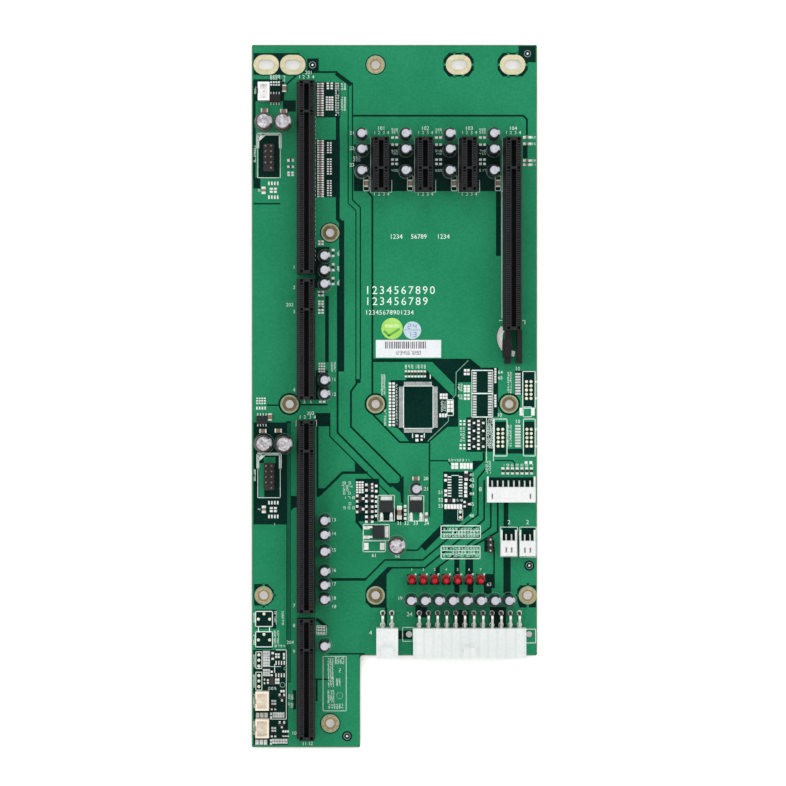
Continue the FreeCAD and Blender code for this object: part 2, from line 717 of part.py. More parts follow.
def board_blank():
    """Board outline with its corner notch, before any hole."""
    half_x = BOARD_WIDTH / 2
    half_y = BOARD_LENGTH / 2
    outline = [
        (-half_x, -half_y),
        (NOTCH_LEFT_X, -half_y),
        (NOTCH_LEFT_X, NOTCH_TOP_Y),
        (half_x, NOTCH_TOP_Y),
        (half_x, half_y),
        (-half_x, half_y),
    ]
    points = [V(px, py, BOARD_TOP - BOARD_THICK) for px, py in outline]
    blank = prism(points, V(0, 0, BOARD_THICK))
    uprights = [edge for edge in blank.Edges if abs(edge.tangentAt(edge.FirstParameter).z) > 0.99]
    return blank.makeFillet(BOARD_CORNER, uprights)


def circuit_board(tails):
    """Board with its mounting holes, peg holes, latch hole and a soldered hole round every tail."""
    through = (-BOARD_THICK, 0)
    cutters = [rod(x, y, ROUND_HOLE_R, through) for x, y in ROUND_HOLES]
    cutters += [oblong_cutter(x, TOP_ROW_Y) for x in OBLONG_HOLES_X]
    cutters += [rod(x, y, HEADER_SIDE_HOLE_R, through) for x, y in HEADER_SIDE_HOLES]
    cutters += [peg(x, y, PEG_HOLE_ACROSS, through) for x, y in all_slot_pegs()]
    cutters.append(latch_cutter())
    return board_blank().cut(Part.makeCompound(cutters + tails))


def main():
    """Build every node and write it to parts/."""
    os.makedirs("parts", exist_ok=True)
    tails = []

    for name, (top_y, length) in HOST_SLOTS.items():
        save(name, [slot_housing(HOST_SLOT_X, top_y, length)])
    for name, housing in card_slots().items():
        save(name, [housing])

    power_headers = {
        "main_power": (MAIN_POWER_X, MAIN_POWER_COLUMNS),
        "auxiliary_power": (AUX_POWER_X, AUX_POWER_COLUMNS),
    }
    for name, (centre_x, columns) in power_headers.items():
        pins = power_pins(centre_x, columns)
        save(f"{name}_header", [power_header(centre_x, columns, pins)])
        save(f"{name}_pins", pins)
        tails += pins

    wafers = {
        "panel_wafer": (PANEL_WAFER_PLACE, PANEL_WAFER_PINS),
        "two_way_wafer_left": (LEFT_TWO_WAY_PLACE, TWO_WAY_PINS),
        "two_way_wafer_right": (RIGHT_TWO_WAY_PLACE, TWO_WAY_PINS),
    }
    for name, (place, count) in wafers.items():
        pins = wafer_pins(place, count)
        save(f"{name}_housing", [wafer_housing(place, count, pins)])
        save(f"{name}_pins", pins)
        tails += pins

    uprights = {name: (place, FAN_WAFER_SIZE) for name, place in FAN_WAFERS.items()}
    uprights["upright_panel_wafer"] = (PANEL_UPRIGHT_PLACE, PANEL_UPRIGHT_SIZE)
    for name, (place, size) in uprights.items():
        pins = upright_pins(place)
        save(f"{name}_housing", [upright_housing(place, size, pins)])
        save(f"{name}_pins", pins)
        tails += pins

    for name, place in SWITCH_HEADERS.items():
        places = header_places(place, SWITCH_HEADER_ROWS, SWITCH_HEADER_COLUMNS)
        del places[SWITCH_HEADER_MISSING_PIN]
        pins = header_pins(places)
        save(f"{name}_base", [header_base(place, SWITCH_HEADER_ROWS, SWITCH_HEADER_COLUMNS, pins)])
        save(f"{name}_pins", pins)
        tails += pins
    pins = header_pins(header_places(JUMPER_PLACE, JUMPER_ROWS, 1))
    save("jumper_header_base", [header_base(JUMPER_PLACE, JUMPER_ROWS, 1, pins)])
    save("jumper_header_pins", pins)
    tails += pins

    host_cans = [capacitor(HOST_CANS_X, y, SMALL_CAN_R, SMALL_CAN_HEIGHT) for y in HOST_CANS_Y]
    save("host_slot_capacitors", host_cans)
    save("card_slot_capacitors", card_slot_capacitors())
    save("power_capacitors", power_capacitors())
    save("large_capacitors", [capacitor(x, y, LARGE_CAN_R, LARGE_CAN_HEIGHT) for x, y in LARGE_CANS])

    leads = []
    for x, y in lamp_places():
        leads += lamp_leads(x, y)
    lenses = [lamp_lens(x, y) for x, y in lamp_places()]
    leads = [lead.cut(Part.makeCompound(lenses)) for lead in leads]
    save("indicator_lamps", lenses)
    save("indicator_lamp_leads", leads)

    save("driver_chip_bodies", [chip_body(x, y) for x, y in CHIP_PLACES])
    save("driver_chip_leads", [lead for x, y in CHIP_PLACES for lead in chip_leads(x, y)])
    save("transistor_bodies", [body for spot in TRANSISTORS for body in transistor_body(*spot)])
    save("transistor_tabs_and_leads", [metal for spot in TRANSISTORS for metal in transistor_metal(*spot)])
    save("chip_capacitors", chip_capacitors())

    save("circuit_board", [circuit_board(tails)])


main()
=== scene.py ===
"""Looks of a passive backplane: a long notched circuit board with card slots, headers and small parts.

Sizes and places in the classes are millimetres in the part's own frame. Heights called z start at the
board's top face, unless a comment says otherwise. Meshes are written in metres.
"""
import logging
import math
import random
from dataclasses import dataclass
from enum import Enum
from typing import Callable, Iterable

import bpy
from mathutils import Matrix, Vector


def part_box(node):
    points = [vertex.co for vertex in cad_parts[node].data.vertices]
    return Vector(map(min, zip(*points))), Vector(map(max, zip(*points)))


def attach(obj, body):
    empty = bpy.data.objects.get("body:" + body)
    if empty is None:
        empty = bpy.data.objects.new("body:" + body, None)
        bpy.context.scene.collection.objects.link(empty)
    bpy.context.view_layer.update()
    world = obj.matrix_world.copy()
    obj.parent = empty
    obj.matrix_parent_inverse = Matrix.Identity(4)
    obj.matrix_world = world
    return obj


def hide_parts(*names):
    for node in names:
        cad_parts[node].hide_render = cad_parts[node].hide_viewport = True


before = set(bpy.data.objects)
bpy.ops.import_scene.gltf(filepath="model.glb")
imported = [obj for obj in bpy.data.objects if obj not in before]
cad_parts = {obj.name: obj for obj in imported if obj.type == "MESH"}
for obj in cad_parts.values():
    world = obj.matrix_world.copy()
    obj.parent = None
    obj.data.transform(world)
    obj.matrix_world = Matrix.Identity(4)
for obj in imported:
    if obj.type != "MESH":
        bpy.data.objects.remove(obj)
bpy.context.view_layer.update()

Piece = bpy.types.Object
Node = bpy.types.Node
Socket = bpy.types.NodeSocket
Tree = bpy.types.NodeTree
Material = bpy.types.Material
Span = tuple[float, float]
Place = tuple[float, float]
Size = tuple[float, float, float]

MM = 0.001
ROOT = "root"
BOARD_LOW, BOARD_HIGH = (corner.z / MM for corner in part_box("circuit_board"))
POUR_HEIGHT = 0.06
INK_HEIGHT = 0.09
PAD_HEIGHT = 0.16
log = logging.getLogger("backplane")


def linear(colour: int) -> tuple[float, float, float, float]:
    """Turn a display colour into linear light.

    Args:
        colour: Red, green and blue of 0 to 255, as 0xRRGGBB.

    Returns:
        Linear red, green, blue and an alpha of one.
    """
    parts = [(colour >> shift & 255) / 255 for shift in (16, 8, 0)]
    red, green, blue = (v / 12.92 if v <= 0.04045 else ((v + 0.055) / 1.055) ** 2.4 for v in parts)
    return (red, green, blue, 1.0)


def pairs(numbers: tuple[float, ...]) -> tuple[Place, ...]:
    """Take numbers two by two as places on the board."""
    return tuple(zip(numbers[::2], numbers[1::2]))


# Modelling by hand


def deselect_all() -> None:
    """Return to object mode with nothing selected."""
    if bpy.context.mode != "OBJECT":
        bpy.ops.object.mode_set(mode="OBJECT")
    bpy.ops.object.select_all(action="DESELECT")


def make_active(piece: Piece) -> None:
    """Select one piece alone and make it the active one."""
    deselect_all()
    piece.select_set(True)
    bpy.context.view_layer.objects.active = piece


def pick(piece: Piece, kind: str, test: Callable[[bpy.types.bpy_struct], bool]) -> None:
    """Select the points or faces that pass a test and stay in edit mode.

    Args:
        piece: Piece to edit.
        kind: VERT for points, FACE for faces.
        test: Says for each point or face whether it is selected.
    """
    make_active(piece)
    bpy.ops.object.mode_set(mode="EDIT")
    bpy.ops.mesh.select_mode(type=kind)
    bpy.ops.mesh.select_all(action="DESELECT")
    bpy.ops.object.mode_set(mode="OBJECT")
    for part in piece.data.polygons if kind == "FACE" else piece.data.vertices:
        part.select = test(part)
    bpy.ops.object.mode_set(mode="EDIT")


def pull_apart(piece: Piece, run: float) -> None:
    """Move the two halves of a piece about the origin apart along x.

    Args:
        piece: Piece to lengthen.
        run: How far each half moves.
    """
    for side in (-1, 1):
        pick(piece, "VERT", lambda point: point.co.x * side > 1e-7)
        bpy.ops.transform.translate(value=(side * run * MM, 0, 0))
        deselect_all()


def faces_up(face: bpy.types.MeshPolygon) -> bool:
    """Say whether a face looks straight up."""
    return face.normal.z > 0.99


def add_block(x: Span, y: Span, z: Span, turn: float = 0.0) -> Piece:
    """Add a block between limits, turned about its own upright axis.

    Args:
        x: Lowest and highest x before the turn.
        y: Lowest and highest y before the turn.
        z: Lowest and highest height over the board's top face.
        turn: Turn in degrees.

    Returns:
        The block, with its place in its mesh.
    """
    deselect_all()
    middle = [(low + high) / 2 * MM for low, high in (x, y, z)]
    middle[2] += BOARD_HIGH * MM
    bpy.ops.mesh.primitive_cube_add(size=1, location=middle, rotation=(0, 0, math.radians(turn)))
    block = bpy.context.object
    block.scale = [(high - low) * MM for low, high in (x, y, z)]
    bpy.ops.object.transform_apply(location=True, rotation=True, scale=True)
    return block


def add_chain(points: list[Vector]) -> Piece:
    """Draw a chain of edges through points in metres and stay in edit mode with all of it selected.

    Args:
        points: Corners of the chain.

    Returns:
        The chain.
    """
    deselect_all()
    bpy.ops.mesh.primitive_plane_add(size=MM)
    chain = bpy.context.object
    bpy.ops.object.mode_set(mode="EDIT")
    bpy.ops.mesh.select_mode(type="VERT")
    bpy.ops.mesh.select_all(action="SELECT")
    bpy.ops.mesh.merge(type="CENTER")
    bpy.ops.transform.translate(value=points[0])
    for start, end in zip(points, points[1:]):
        bpy.ops.mesh.extrude_vertices_move(TRANSFORM_OT_translate={"value": end - start})
    bpy.ops.mesh.select_all(action="SELECT")
    return chain


def close_up() -> None:
    """Merge doubled points of the piece in edit mode, turn its faces outward and leave edit mode."""
    bpy.ops.mesh.select_all(action="SELECT")
    bpy.ops.mesh.remove_doubles(threshold=1e-6)
    bpy.ops.mesh.normals_make_consistent(inside=False)
    bpy.ops.object.mode_set(mode="OBJECT")


def add_lathe(profile: list[Place], steps: int, sweep: float = 360.0) -> Piece:
    """Spin a profile about the upright line through the origin.

    Args:
        profile: Points as (radius, height).
        steps: Number of sides of the turned piece.
        sweep: Degrees of the turn, counted from +X; a part turn of a closed profile gets two end faces.

    Returns:
        The turned piece, with its foot at the origin.
    """
    piece = add_chain([Vector((r, 0, z)) * MM for r, z in profile])
    bpy.ops.mesh.spin(steps=steps, angle=math.radians(sweep), center=(0, 0, 0), axis=(0, 0, 1))
    bpy.ops.mesh.select_all(action="SELECT")
    bpy.ops.mesh.remove_doubles(threshold=1e-6)
    if sweep < 360:
        bpy.ops.mesh.fill_holes(sides=len(profile))
    close_up()
    return piece


def add_ring(inner: float, outer: float, z: Span, steps: int, sweep: float = 360.0) -> Piece:
    """Add a flat ring, or a part of one, about the upright line through the origin.

    Args:
        inner: Inner radius.
        outer: Outer radius.
        z: Lowest and highest height over the origin.
        steps: Number of its sides.
        sweep: Degrees of the turn.

    Returns:
        The ring.
    """
    low, high = z
    return add_lathe([(inner, low), (inner, high), (outer, high), (outer, low), (inner, low)], steps, sweep)


def add_slab(outline: tuple[Place, ...], z: Span) -> Piece:
    """Add a slab with a many-cornered outline.

    Args:
        outline: Corners on the board, in order.
        z: Lowest and highest height over the board's top face.

    Returns:
        The slab, with its place in its mesh.
    """
    low = (BOARD_HIGH + z[0]) * MM
    slab = add_chain([Vector((x * MM, y * MM, low)) for x, y in (*outline, outline[0])])
    bpy.ops.mesh.remove_doubles(threshold=1e-6)
    bpy.ops.mesh.select_all(action="SELECT")
    bpy.ops.mesh.edge_face_add()
    bpy.ops.mesh.extrude_region_move(TRANSFORM_OT_translate={"value": (0, 0, (z[1] - z[0]) * MM)})
    close_up()
    return slab


def to_origin(piece: Piece) -> Piece:
    """Move a piece from the board's top face down to the origin, as a model to copy, and return it."""
    piece.data.transform(Matrix.Translation((0, 0, -BOARD_HIGH * MM)))
    return piece


def join(pieces: list[Piece], name: str) -> Piece:
    """Join pieces into one.

    Args:
        pieces: Pieces to join.
        name: Name of the joined piece.

    Returns:
        The joined piece.
    """
    make_active(pieces[0])
    for piece in pieces:
        piece.select_set(True)
    bpy.ops.object.join()
    joined = bpy.context.object
    joined.name = name
    return joined


def copy_out(model: Piece, places: Iterable[Matrix], name: str) -> Piece:
    """Copy a model to many places and join the copies.

    Args:
        model: Piece modelled about the origin, which is used up.
        places: Where each copy goes, in metres.
        name: Name of the joined piece.

    Returns:
        The joined copies.
    """
    copies = []
    for place in places:
        copy = model.copy()
        copy.data = model.data.copy()
        copy.data.transform(place)
        bpy.context.collection.objects.link(copy)
        copies.append(copy)
    bpy.data.objects.remove(model)
    return join(copies, name)


def place_at(x: float, y: float, z: float = 0.0, turn: float = 0.0, size: Size = (1, 1, 1)) -> Matrix:
    """Place a copy on the board.

    Args:
        x: Place across the board.
        y: Place along the board.
        z: Height over the board's top face.
        turn: Turn in degrees.
        size: Stretch of the model along its own axes.

    Returns:
        The placement in metres.
    """
    move = Matrix.Translation(Vector((x * MM, y * MM, (BOARD_HIGH + z) * MM)))
    return move @ Matrix.Rotation(math.radians(turn), 4, "Z") @ Matrix.Diagonal((*size, 1))


def places_at(spots: Iterable[Place], z: float = 0.0, turn: float = 0.0) -> list[Matrix]:
    """Place one copy on every spot, all at one height and turn."""
    return [place_at(x, y, z, turn) for x, y in spots]


def apply_modifier(piece: Piece, kind: str, **settings: object) -> None:
    """Add a modifier to a piece and apply it.

    Args:
        piece: Piece to change.
        kind: Modifier type.
        settings: Values of the modifier's own settings.
    """
    modifier = piece.modifiers.new(kind.lower(), kind)
    for name, value in settings.items():
        setattr(modifier, name, value)
    make_active(piece)
    bpy.ops.object.modifier_apply(modifier=modifier.name)


def smooth(piece: Piece, angle: float = 35.0) -> None:
    """Shade a piece smooth across edges flatter than an angle in degrees."""
    make_active(piece)
    bpy.ops.object.shade_smooth_by_angle(angle=math.radians(angle))


def dress(piece: Piece, *looks: "Finish") -> None:
    """Give a piece its finishes, in slot order."""
    piece.data.materials.clear()
    for look in looks:
        piece.data.materials.append(look.material())


def paint_faces(piece: Piece, index: int, test: Callable[[bpy.types.MeshPolygon], bool]) -> None:
    """Give the faces that pass a test another of the piece's materials."""
    for face in piece.data.polygons:
        if test(face):
            face.material_index = index


def hand_over(
    piece: Piece, look: "Finish | None" = None, replaces: Iterable[str] = ()
) -> None:
    """Dress a finished piece, let it ride on the part and report it.

    Args:
        piece: Finished piece.
        look: Its finish, unless it is dressed already.
        replaces: Nodes that the piece stands for.
    """
    if look:
        dress(piece, look)
    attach(piece, ROOT)
    for node in replaces:
        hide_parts(node)
    log.info("%s: %d faces", piece.name, len(piece.data.polygons))


# Finishes


class Wiring:
    """Nodes and links of one material, world or shader group."""

    def __init__(self, tree: Tree) -> None:
        """Start on a tree."""
        self.tree = tree

    def add(self, kind: str, settings: dict | None = None, **inputs: object) -> Node:
        """Add a node, with its settings, and set or link its inputs.

        Args:
            kind: Node type without the ShaderNode prefix.
            settings: Values of the node's own settings.
            inputs: Input sockets by name, with underscores for spaces; a socket is linked, a value is set.

        Returns:
            The node.
        """
        node = self.tree.nodes.new("ShaderNode" + kind)
        for name, value in (settings or {}).items():
            setattr(node, name, value)
        self.feed_all(node, **inputs)
        return node

    def feed_all(self, node: Node, **inputs: object) -> None:
        """Set or link inputs of a node by name, with underscores for spaces."""
        for name, value in inputs.items():
            self.feed(node.inputs[name.replace("_", " ")], value)

    def feed(self, socket: Socket, value: object) -> None:
        """Link a socket to another one, or set its value."""
        if isinstance(value, Socket):
            self.tree.links.new(value, socket)
        else:
            socket.default_value = value

    def number(self, operation: str, *values: object) -> Socket:
        """Calculate with values or sockets and return the result's socket."""
        node = self.add("Math", {"operation": operation})
        for socket, value in zip(node.inputs, values):
            self.feed(socket, value)
        return node.outputs[0]

    def ramp(
        self, value: Socket, low: float, high: float, first: float = 0.0, last: float = 1.0
    ) -> Socket:
        """Turn a value between two limits into one between two others.

        Args:
            value: Value to turn.
            low: Lower limit of the value.
            high: Upper limit of the value.
            first: Result at the lower limit.
            last: Result at the upper limit.

        Returns:
            The result's socket.
        """
        node = self.add("MapRange", Value=value, From_Min=low, From_Max=high, To_Min=first, To_Max=last)
        return node.outputs["Result"]

    def noise(self, place: Socket, size: object, detail: float) -> Socket:
        """Return the socket of a noise over the surface."""
        return self.add("TexNoise", Vector=place, Scale=size, Detail=detail).outputs["Fac"]

    def axis(self, vector: Socket, name: str) -> Socket:
        """Return the socket of one axis of a vector."""
        return self.add("SeparateXYZ", Vector=vector).outputs[name]

    def facing_up(self) -> Socket:
        """Return how far the surface looks up."""
        return self.axis(self.add("NewGeometry").outputs["Normal"], "Z")

    def blend(self, factor: Socket, low: object, high: object) -> Socket:
        """Blend two colours by a factor and return the colour socket."""
        node = self.add("Mix", {"data_type": "RGBA"})
        for index, value in ((0, factor), (6, low), (7, high)):
            self.feed(node.inputs[index], linear(value) if isinstance(value, int) else value)
        return node.outputs[2]


class Effect(Enum):
    """Surface effects that several finishes share."""

    UNEVEN_TINT = "uneven_tint"
    MOULDED_GRAIN = "moulded_grain"

    def group(self) -> Tree:
        """Return the effect's shader group, built on first use."""
        found = bpy.data.node_groups.get(self.value)
        if found:
            return found
        return self.build_tint() if self is Effect.UNEVEN_TINT else self.build_grain()

    def start(self, inputs: list[str], outputs: list[str]) -> tuple[Wiring, Node, Node]:
        """Make an empty group with its sockets.

        Args:
            inputs: Names of number inputs, after the Vector that every effect has.
            outputs: Names of number outputs.

        Returns:
            The group's wiring, its input node and its output node.
        """
        tree = bpy.data.node_groups.new(self.value, "ShaderNodeTree")
        tree.interface.new_socket(name="Vector", in_out="INPUT", socket_type="NodeSocketVector")
        for way, names in (("INPUT", inputs), ("OUTPUT", outputs)):
            for name in names:
                tree.interface.new_socket(name=name, in_out=way, socket_type="NodeSocketFloat")
        return Wiring(tree), tree.nodes.new("NodeGroupInput"), tree.nodes.new("NodeGroupOutput")

    def build_tint(self) -> Tree:
        """Cloudy factor between zero and one, from broad clouds with finer ones in them."""
        wires, given, result = self.start(["Size", "Fine size"], ["Factor"])
        place, size, fine_size = (given.outputs[name] for name in ("Vector", "Size", "Fine size"))
        both = wires.number("ADD", wires.noise(place, size, 3.0), wires.noise(place, fine_size, 2.0))
        wires.feed_all(result, Factor=wires.ramp(both, 0.7, 1.3))
        return wires.tree

    def build_grain(self) -> Tree:
        """Fine surface relief, and a roughness that follows it."""
        wires, given, result = self.start(["Size", "Roughness", "Swing"], ["Height", "Roughness"])
        relief = wires.noise(given.outputs["Vector"], given.outputs["Size"], 4.0)
        swing = wires.number("MULTIPLY_ADD", relief, given.outputs["Swing"], given.outputs["Roughness"])
        wires.feed_all(result, Height=relief, Roughness=swing)
        return wires.tree


@dataclass(frozen=True)
class Finish:
    """A surface with an uneven tint, a fine relief and a roughness that follows it."""

    name: str
    dark: int
    light: int
    roughness: float = 0.4
    swing: float = 0.15
    metallic: float = 0.0
    cloud_size: float = 60.0
    fine_size: float = 900.0
    grain_size: float = 4000.0
    grain_depth: float = 0.00001
    grain_strength: float = 0.25
    coat: float = 0.0
    specular: float = 0.5

    def material(self) -> Material:
        """Return the finish as a material, built on first use."""
        return bpy.data.materials.get(self.name) or self.build()

    def build(self) -> Material:
        """Make the material."""
        material = bpy.data.materials.new(self.name)
        material.use_nodes = True
        wires = Wiring(material.node_tree)
        place = wires.add("TexCoord").outputs["Object"]
        low = self.roughness - self.swing / 2
        grain = wires.add(
            "Group", {"node_tree": Effect.MOULDED_GRAIN.group()},
            Vector=place, Size=self.grain_size, Roughness=low, Swing=self.swing,
        ).outputs
        relief = {"Strength": self.grain_strength, "Distance": self.grain_depth, "Height": grain["Height"]}
        bump = wires.add("Bump", **relief)
        wires.feed_all(
            material.node_tree.nodes["Principled BSDF"],
            Base_Color=self.colour(wires, place), Roughness=grain["Roughness"], Normal=bump.outputs["Normal"],
            Metallic=self.metallic, Specular_IOR_Level=self.specular,
            Coat_Weight=self.coat, Coat_Roughness=0.12,
        )
        return material

    def colour(self, wires: Wiring, place: Socket) -> Socket:
        """Return the colour over the surface.

        Args:
            wires: The material's wiring.
            place: Object coordinates.

        Returns:
            Colour socket.
        """
        group = {"node_tree": Effect.UNEVEN_TINT.group()}
        cloud = wires.add("Group", group, Vector=place, Size=self.cloud_size, Fine_size=self.fine_size)
        return wires.blend(cloud.outputs["Factor"], self.dark, self.light)


@dataclass(frozen=True)
class LaminateFinish(Finish):
    """Mask on the board's faces, and bare layered laminate on its edges."""

    edge_dark: int = 0x605230
    edge_light: int = 0x968658
    layer_size: float = 9000.0

    def colour(self, wires: Wiring, place: Socket) -> Socket:
        """Return the mask's colour on flat faces and the laminate's on upright ones."""
        layers = wires.add("Mapping", Vector=place, Scale=(0.02, 0.02, 1.0)).outputs["Vector"]
        edge = wires.blend(wires.noise(layers, self.layer_size, 2.0), self.edge_dark, self.edge_light)
        flat = wires.number("GREATER_THAN", wires.number("ABSOLUTE", wires.facing_up()), 0.5)
        return wires.blend(flat, edge, Finish.colour(self, wires, place))


@dataclass(frozen=True)
class CellFinish(Finish):
    """Nylon thin enough for the walls between its plug cells to show as faint stripes."""

    stripe: int = 0xCDD5D5
    pitch: float = 4.2
    middle: float = 34.65

    def colour(self, wires: Wiring, place: Socket) -> Socket:
        """Return the nylon's colour with a soft stripe over every wall."""
        turn = 2 * math.pi / self.pitch
        turns = wires.number("MULTIPLY_ADD", wires.axis(place, "X"), turn / MM, -turn * self.middle)
        soft = wires.ramp(wires.number("COSINE", turns), 0.3, 1.0, 0.0, 0.6)
        return wires.blend(soft, Finish.colour(self, wires, place), self.stripe)


@dataclass(frozen=True)
class SlotFinish(Finish):
    """Black moulding, with painted light on its highest faces."""

    # Painted light: the lighter colour blended onto the faces near the housing's top.
    worn: int = 0x1C1F20
    top: float = 14.25

    def colour(self, wires: Wiring, place: Socket) -> Socket:
        """Return the moulding's colour with painted light making its top faces lighter."""
        near = wires.ramp(wires.axis(place, "Z"), (self.top - 0.3) * MM, (self.top - 0.05) * MM)
        return wires.blend(near, Finish.colour(self, wires, place), self.worn)


@dataclass(frozen=True)
class LensFinish(Finish):
    """Tinted lens, with painted shade making its sides a deeper red than its dome."""

    # Painted shade: the dark red given to the lens where it turns away from straight up.
    side: int = 0x600008

    def colour(self, wires: Wiring, place: Socket) -> Socket:
        """Return the lens colour, with painted shade where the surface turns away from straight up."""
        up = wires.ramp(wires.facing_up(), 0.2, 0.85)
        return wires.blend(up, self.side, Finish.colour(self, wires, place))


@dataclass(frozen=True)
class BentPinFinish(Finish):
    """Tinned pins, with painted shade past the line of their bends and a painted highlight just before it."""

    # Painted shade: dark brown given to the pins past the line of their bends.
    bend: int = 0x342C22
    # Painted highlight: near-white given to the pins just before their bends.
    shine: int = 0xFAFCFA
    bend_y: float = -101.2
    reach: float = 0.3

    def colour(self, wires: Wiring, place: Socket) -> Socket:
        """Return the tin's colour, with painted shade past the line of the bends and a painted highlight
        before it.
        """
        along, y, reach = wires.axis(place, "Y"), self.bend_y * MM, self.reach * MM
        near = wires.ramp(along, y - 6 * reach, y - 3 * reach)
        lit = wires.blend(near, Finish.colour(self, wires, place), self.shine)
        return wires.blend(wires.ramp(along, y - reach, y + reach), lit, self.bend)


BARE_MASK = LaminateFinish("bare_mask", 0x00201B, 0x032E26, 0.22, cloud_size=45, specular=0.12)
COPPER_MASK = Finish("copper_mask", 0x1C7C54, 0x298B62, 0.22, cloud_size=30, specular=0.12)
INNER_MASK = Finish("inner_mask", 0x0E583C, 0x1A6646, 0.22, cloud_size=30, specular=0.12)
RIM_LAMINATE = Finish("rim_laminate", 0x5C7450, 0x7C8A68, 0.6)
SLOT_BLACK = SlotFinish("slot_black", 0x0A090B, 0x151415, 0.5, fine_size=1600, specular=0.3)
# Painted light: the bars are the housing's own black moulding, given a lighter colour so their tops read as
# lit.
BAR_BLACK_PAINTED_LIGHT = Finish("bar_black", 0x2E2E31, 0x424144, 0.5, fine_size=1600, specular=0.3)
HEADER_BLACK = Finish("header_black", 0x1C1A1A, 0x2C2828, 0.5)
WHITE_NYLON = Finish("wafer_nylon", 0xDCDEDE, 0xECEDED, 0.42)
CELL_NYLON = CellFinish("cell_nylon", 0xD5DBD9, 0xE3E8E6, 0.4)
AUX_NYLON = Finish("aux_nylon", 0xD5DBD9, 0xE3E8E6, 0.4)
CREAM_NYLON = Finish("fan_wafer_nylon", 0xE8DCCA, 0xF6ECDC, 0.45)
TIN = Finish("tin", 0xC4C4BE, 0xEEEEE8, 0.36, metallic=0.3, cloud_size=220)
POWER_TIN = BentPinFinish("power_tin", 0x9EA89E, 0xD6DCD2, 0.36, metallic=0.2)
PAD_TIN = Finish("pad_tin", 0xD6DAD6, 0xFAFBF8, 0.42, metallic=0.12, cloud_size=400)
PIN_DULL = Finish("pin_dull", 0x705C56, 0xA8928A, 0.4, metallic=0.4)
PALE_PART = Finish("pale_part", 0x8A7A76, 0xB8AAA6, 0.45, cloud_size=900)
# Painted light: the white wafer nylon made brighter than elsewhere, to lift the shade inside the upright
# wafer's cavity.
WAFER_WHITE_PAINTED_LIGHT = Finish("wafer_white_painted_light", 0xFAF8F8, 0xFFFEFE, 0.42)
HOLE_CREAM = Finish("hole_cream", 0xD8DABE, 0xF0F2DA, 0.42, metallic=0.1)
PAD_GREY = Finish("pad_grey", 0xB6BCBA, 0xDEE2E0, 0.42, metallic=0.12, cloud_size=400)
# Painted shade: the gold contacts get a near-black colour for the shade deep in the slot windows.
CONTACT_GOLD_PAINTED_SHADE = Finish("contact_gold_painted_shade", 0x120F0A, 0x261F12, 0.4, metallic=0.9)
RING_GOLD = Finish("ring_gold", 0xCCC6A0, 0xE6DFBC, 0.3, metallic=0.2, cloud_size=260)
RING_PALE = Finish("ring_pale", 0x8C9A78, 0xACB694, 0.3, metallic=0.2, cloud_size=500)
RING_INNER = Finish("ring_inner", 0xA4926C, 0xC6B48C, 0.3, metallic=0.2, cloud_size=700)
RING_TAN = Finish("ring_tan", 0x645A40, 0x867A5A, 0.3, metallic=0.2, cloud_size=500)
RING_LINE = Finish("ring_line", 0x705632, 0x907248, 0.3, metallic=0.3, cloud_size=260)
VIA_DARK = Finish("via_dark", 0x78543C, 0xA07856, 0.5)
CAN_TOP = Finish("can_top", 0xB2B5BC, 0xCED0D7, 0.42, metallic=0.15, cloud_size=300)
WIDE_CAN_TOP = Finish("wide_can_top", 0x685E62, 0xE4E5E9, 0.42, metallic=0.15, cloud_size=420)
CAN_SLEEVE = Finish("can_sleeve", 0x0A0E14, 0x1C2028, 0.34, coat=0.15)
BROWN_SLEEVE = Finish("brown_sleeve", 0x322222, 0x503C38, 0.34, coat=0.15)
CAN_STRIPE = Finish("can_stripe", 0xA4A7AF, 0xC6C8CF, 0.34, coat=0.1)
CAN_SCORE = Finish("can_score", 0xBABAC2, 0xD0D0D8, 0.4, metallic=0.2)
LENS_RED = LensFinish("lens_red", 0xB00018, 0xD00426, 0.25, coat=0.05, fine_size=300, specular=0.3)
CHIP_BLACK = Finish("package_black", 0x1E2324, 0x2E3233, 0.55, fine_size=2600, specular=0.2)
PART_BLACK = Finish("part_black", 0x161414, 0x2A2624, 0.45)
CERAMIC = Finish("ceramic", 0x766252, 0x98826E, 0.42, cloud_size=500)
INK = Finish("ink", 0xCCE8DC, 0xEEF8F2, 0.6, cloud_size=500)
FAINT_INK = Finish("faint_ink", 0x58907A, 0x7EAE9A, 0.6, cloud_size=500)
# Hatched print, darkened further with painted shade from the cans beside it.
HATCH_INK_AND_PAINTED_SHADE = Finish("hatch_ink_and_painted_shade", 0x364640, 0x68766E, 0.6, cloud_size=900)
GREY_INK = Finish("grey_ink", 0x607068, 0x8E9C94, 0.6, cloud_size=700)
LABEL_WHITE = Finish("label_white", 0xDEE1E4, 0xECEFF1, 0.5)
LABEL_BAR = Finish("label_bar", 0x46404A, 0x68626C, 0.6)
LABEL_GREY = Finish("label_grey", 0x706C72, 0x8C888E, 0.6)
DISC_GREEN = Finish("disc_green", 0x92D050, 0xB2E270, 0.4, cloud_size=140)
TICK_GREEN = Finish("tick_green", 0x4A9834, 0x68B046, 0.4, cloud_size=300)
BLUE_LINE = Finish("blue_line", 0x8480B0, 0xA09CC6, 0.4, cloud_size=300)
DISC_BLUE = Finish("disc_blue", 0xB4CCDA, 0xCCDEE8, 0.35, cloud_size=140)
BAND_PALE = Finish("band_pale", 0xBEE28C, 0xD0ECA4, 0.4)
DIGIT_BLUE = Finish("digit_blue", 0x625A92, 0x7C76A8, 0.5)


# Studio


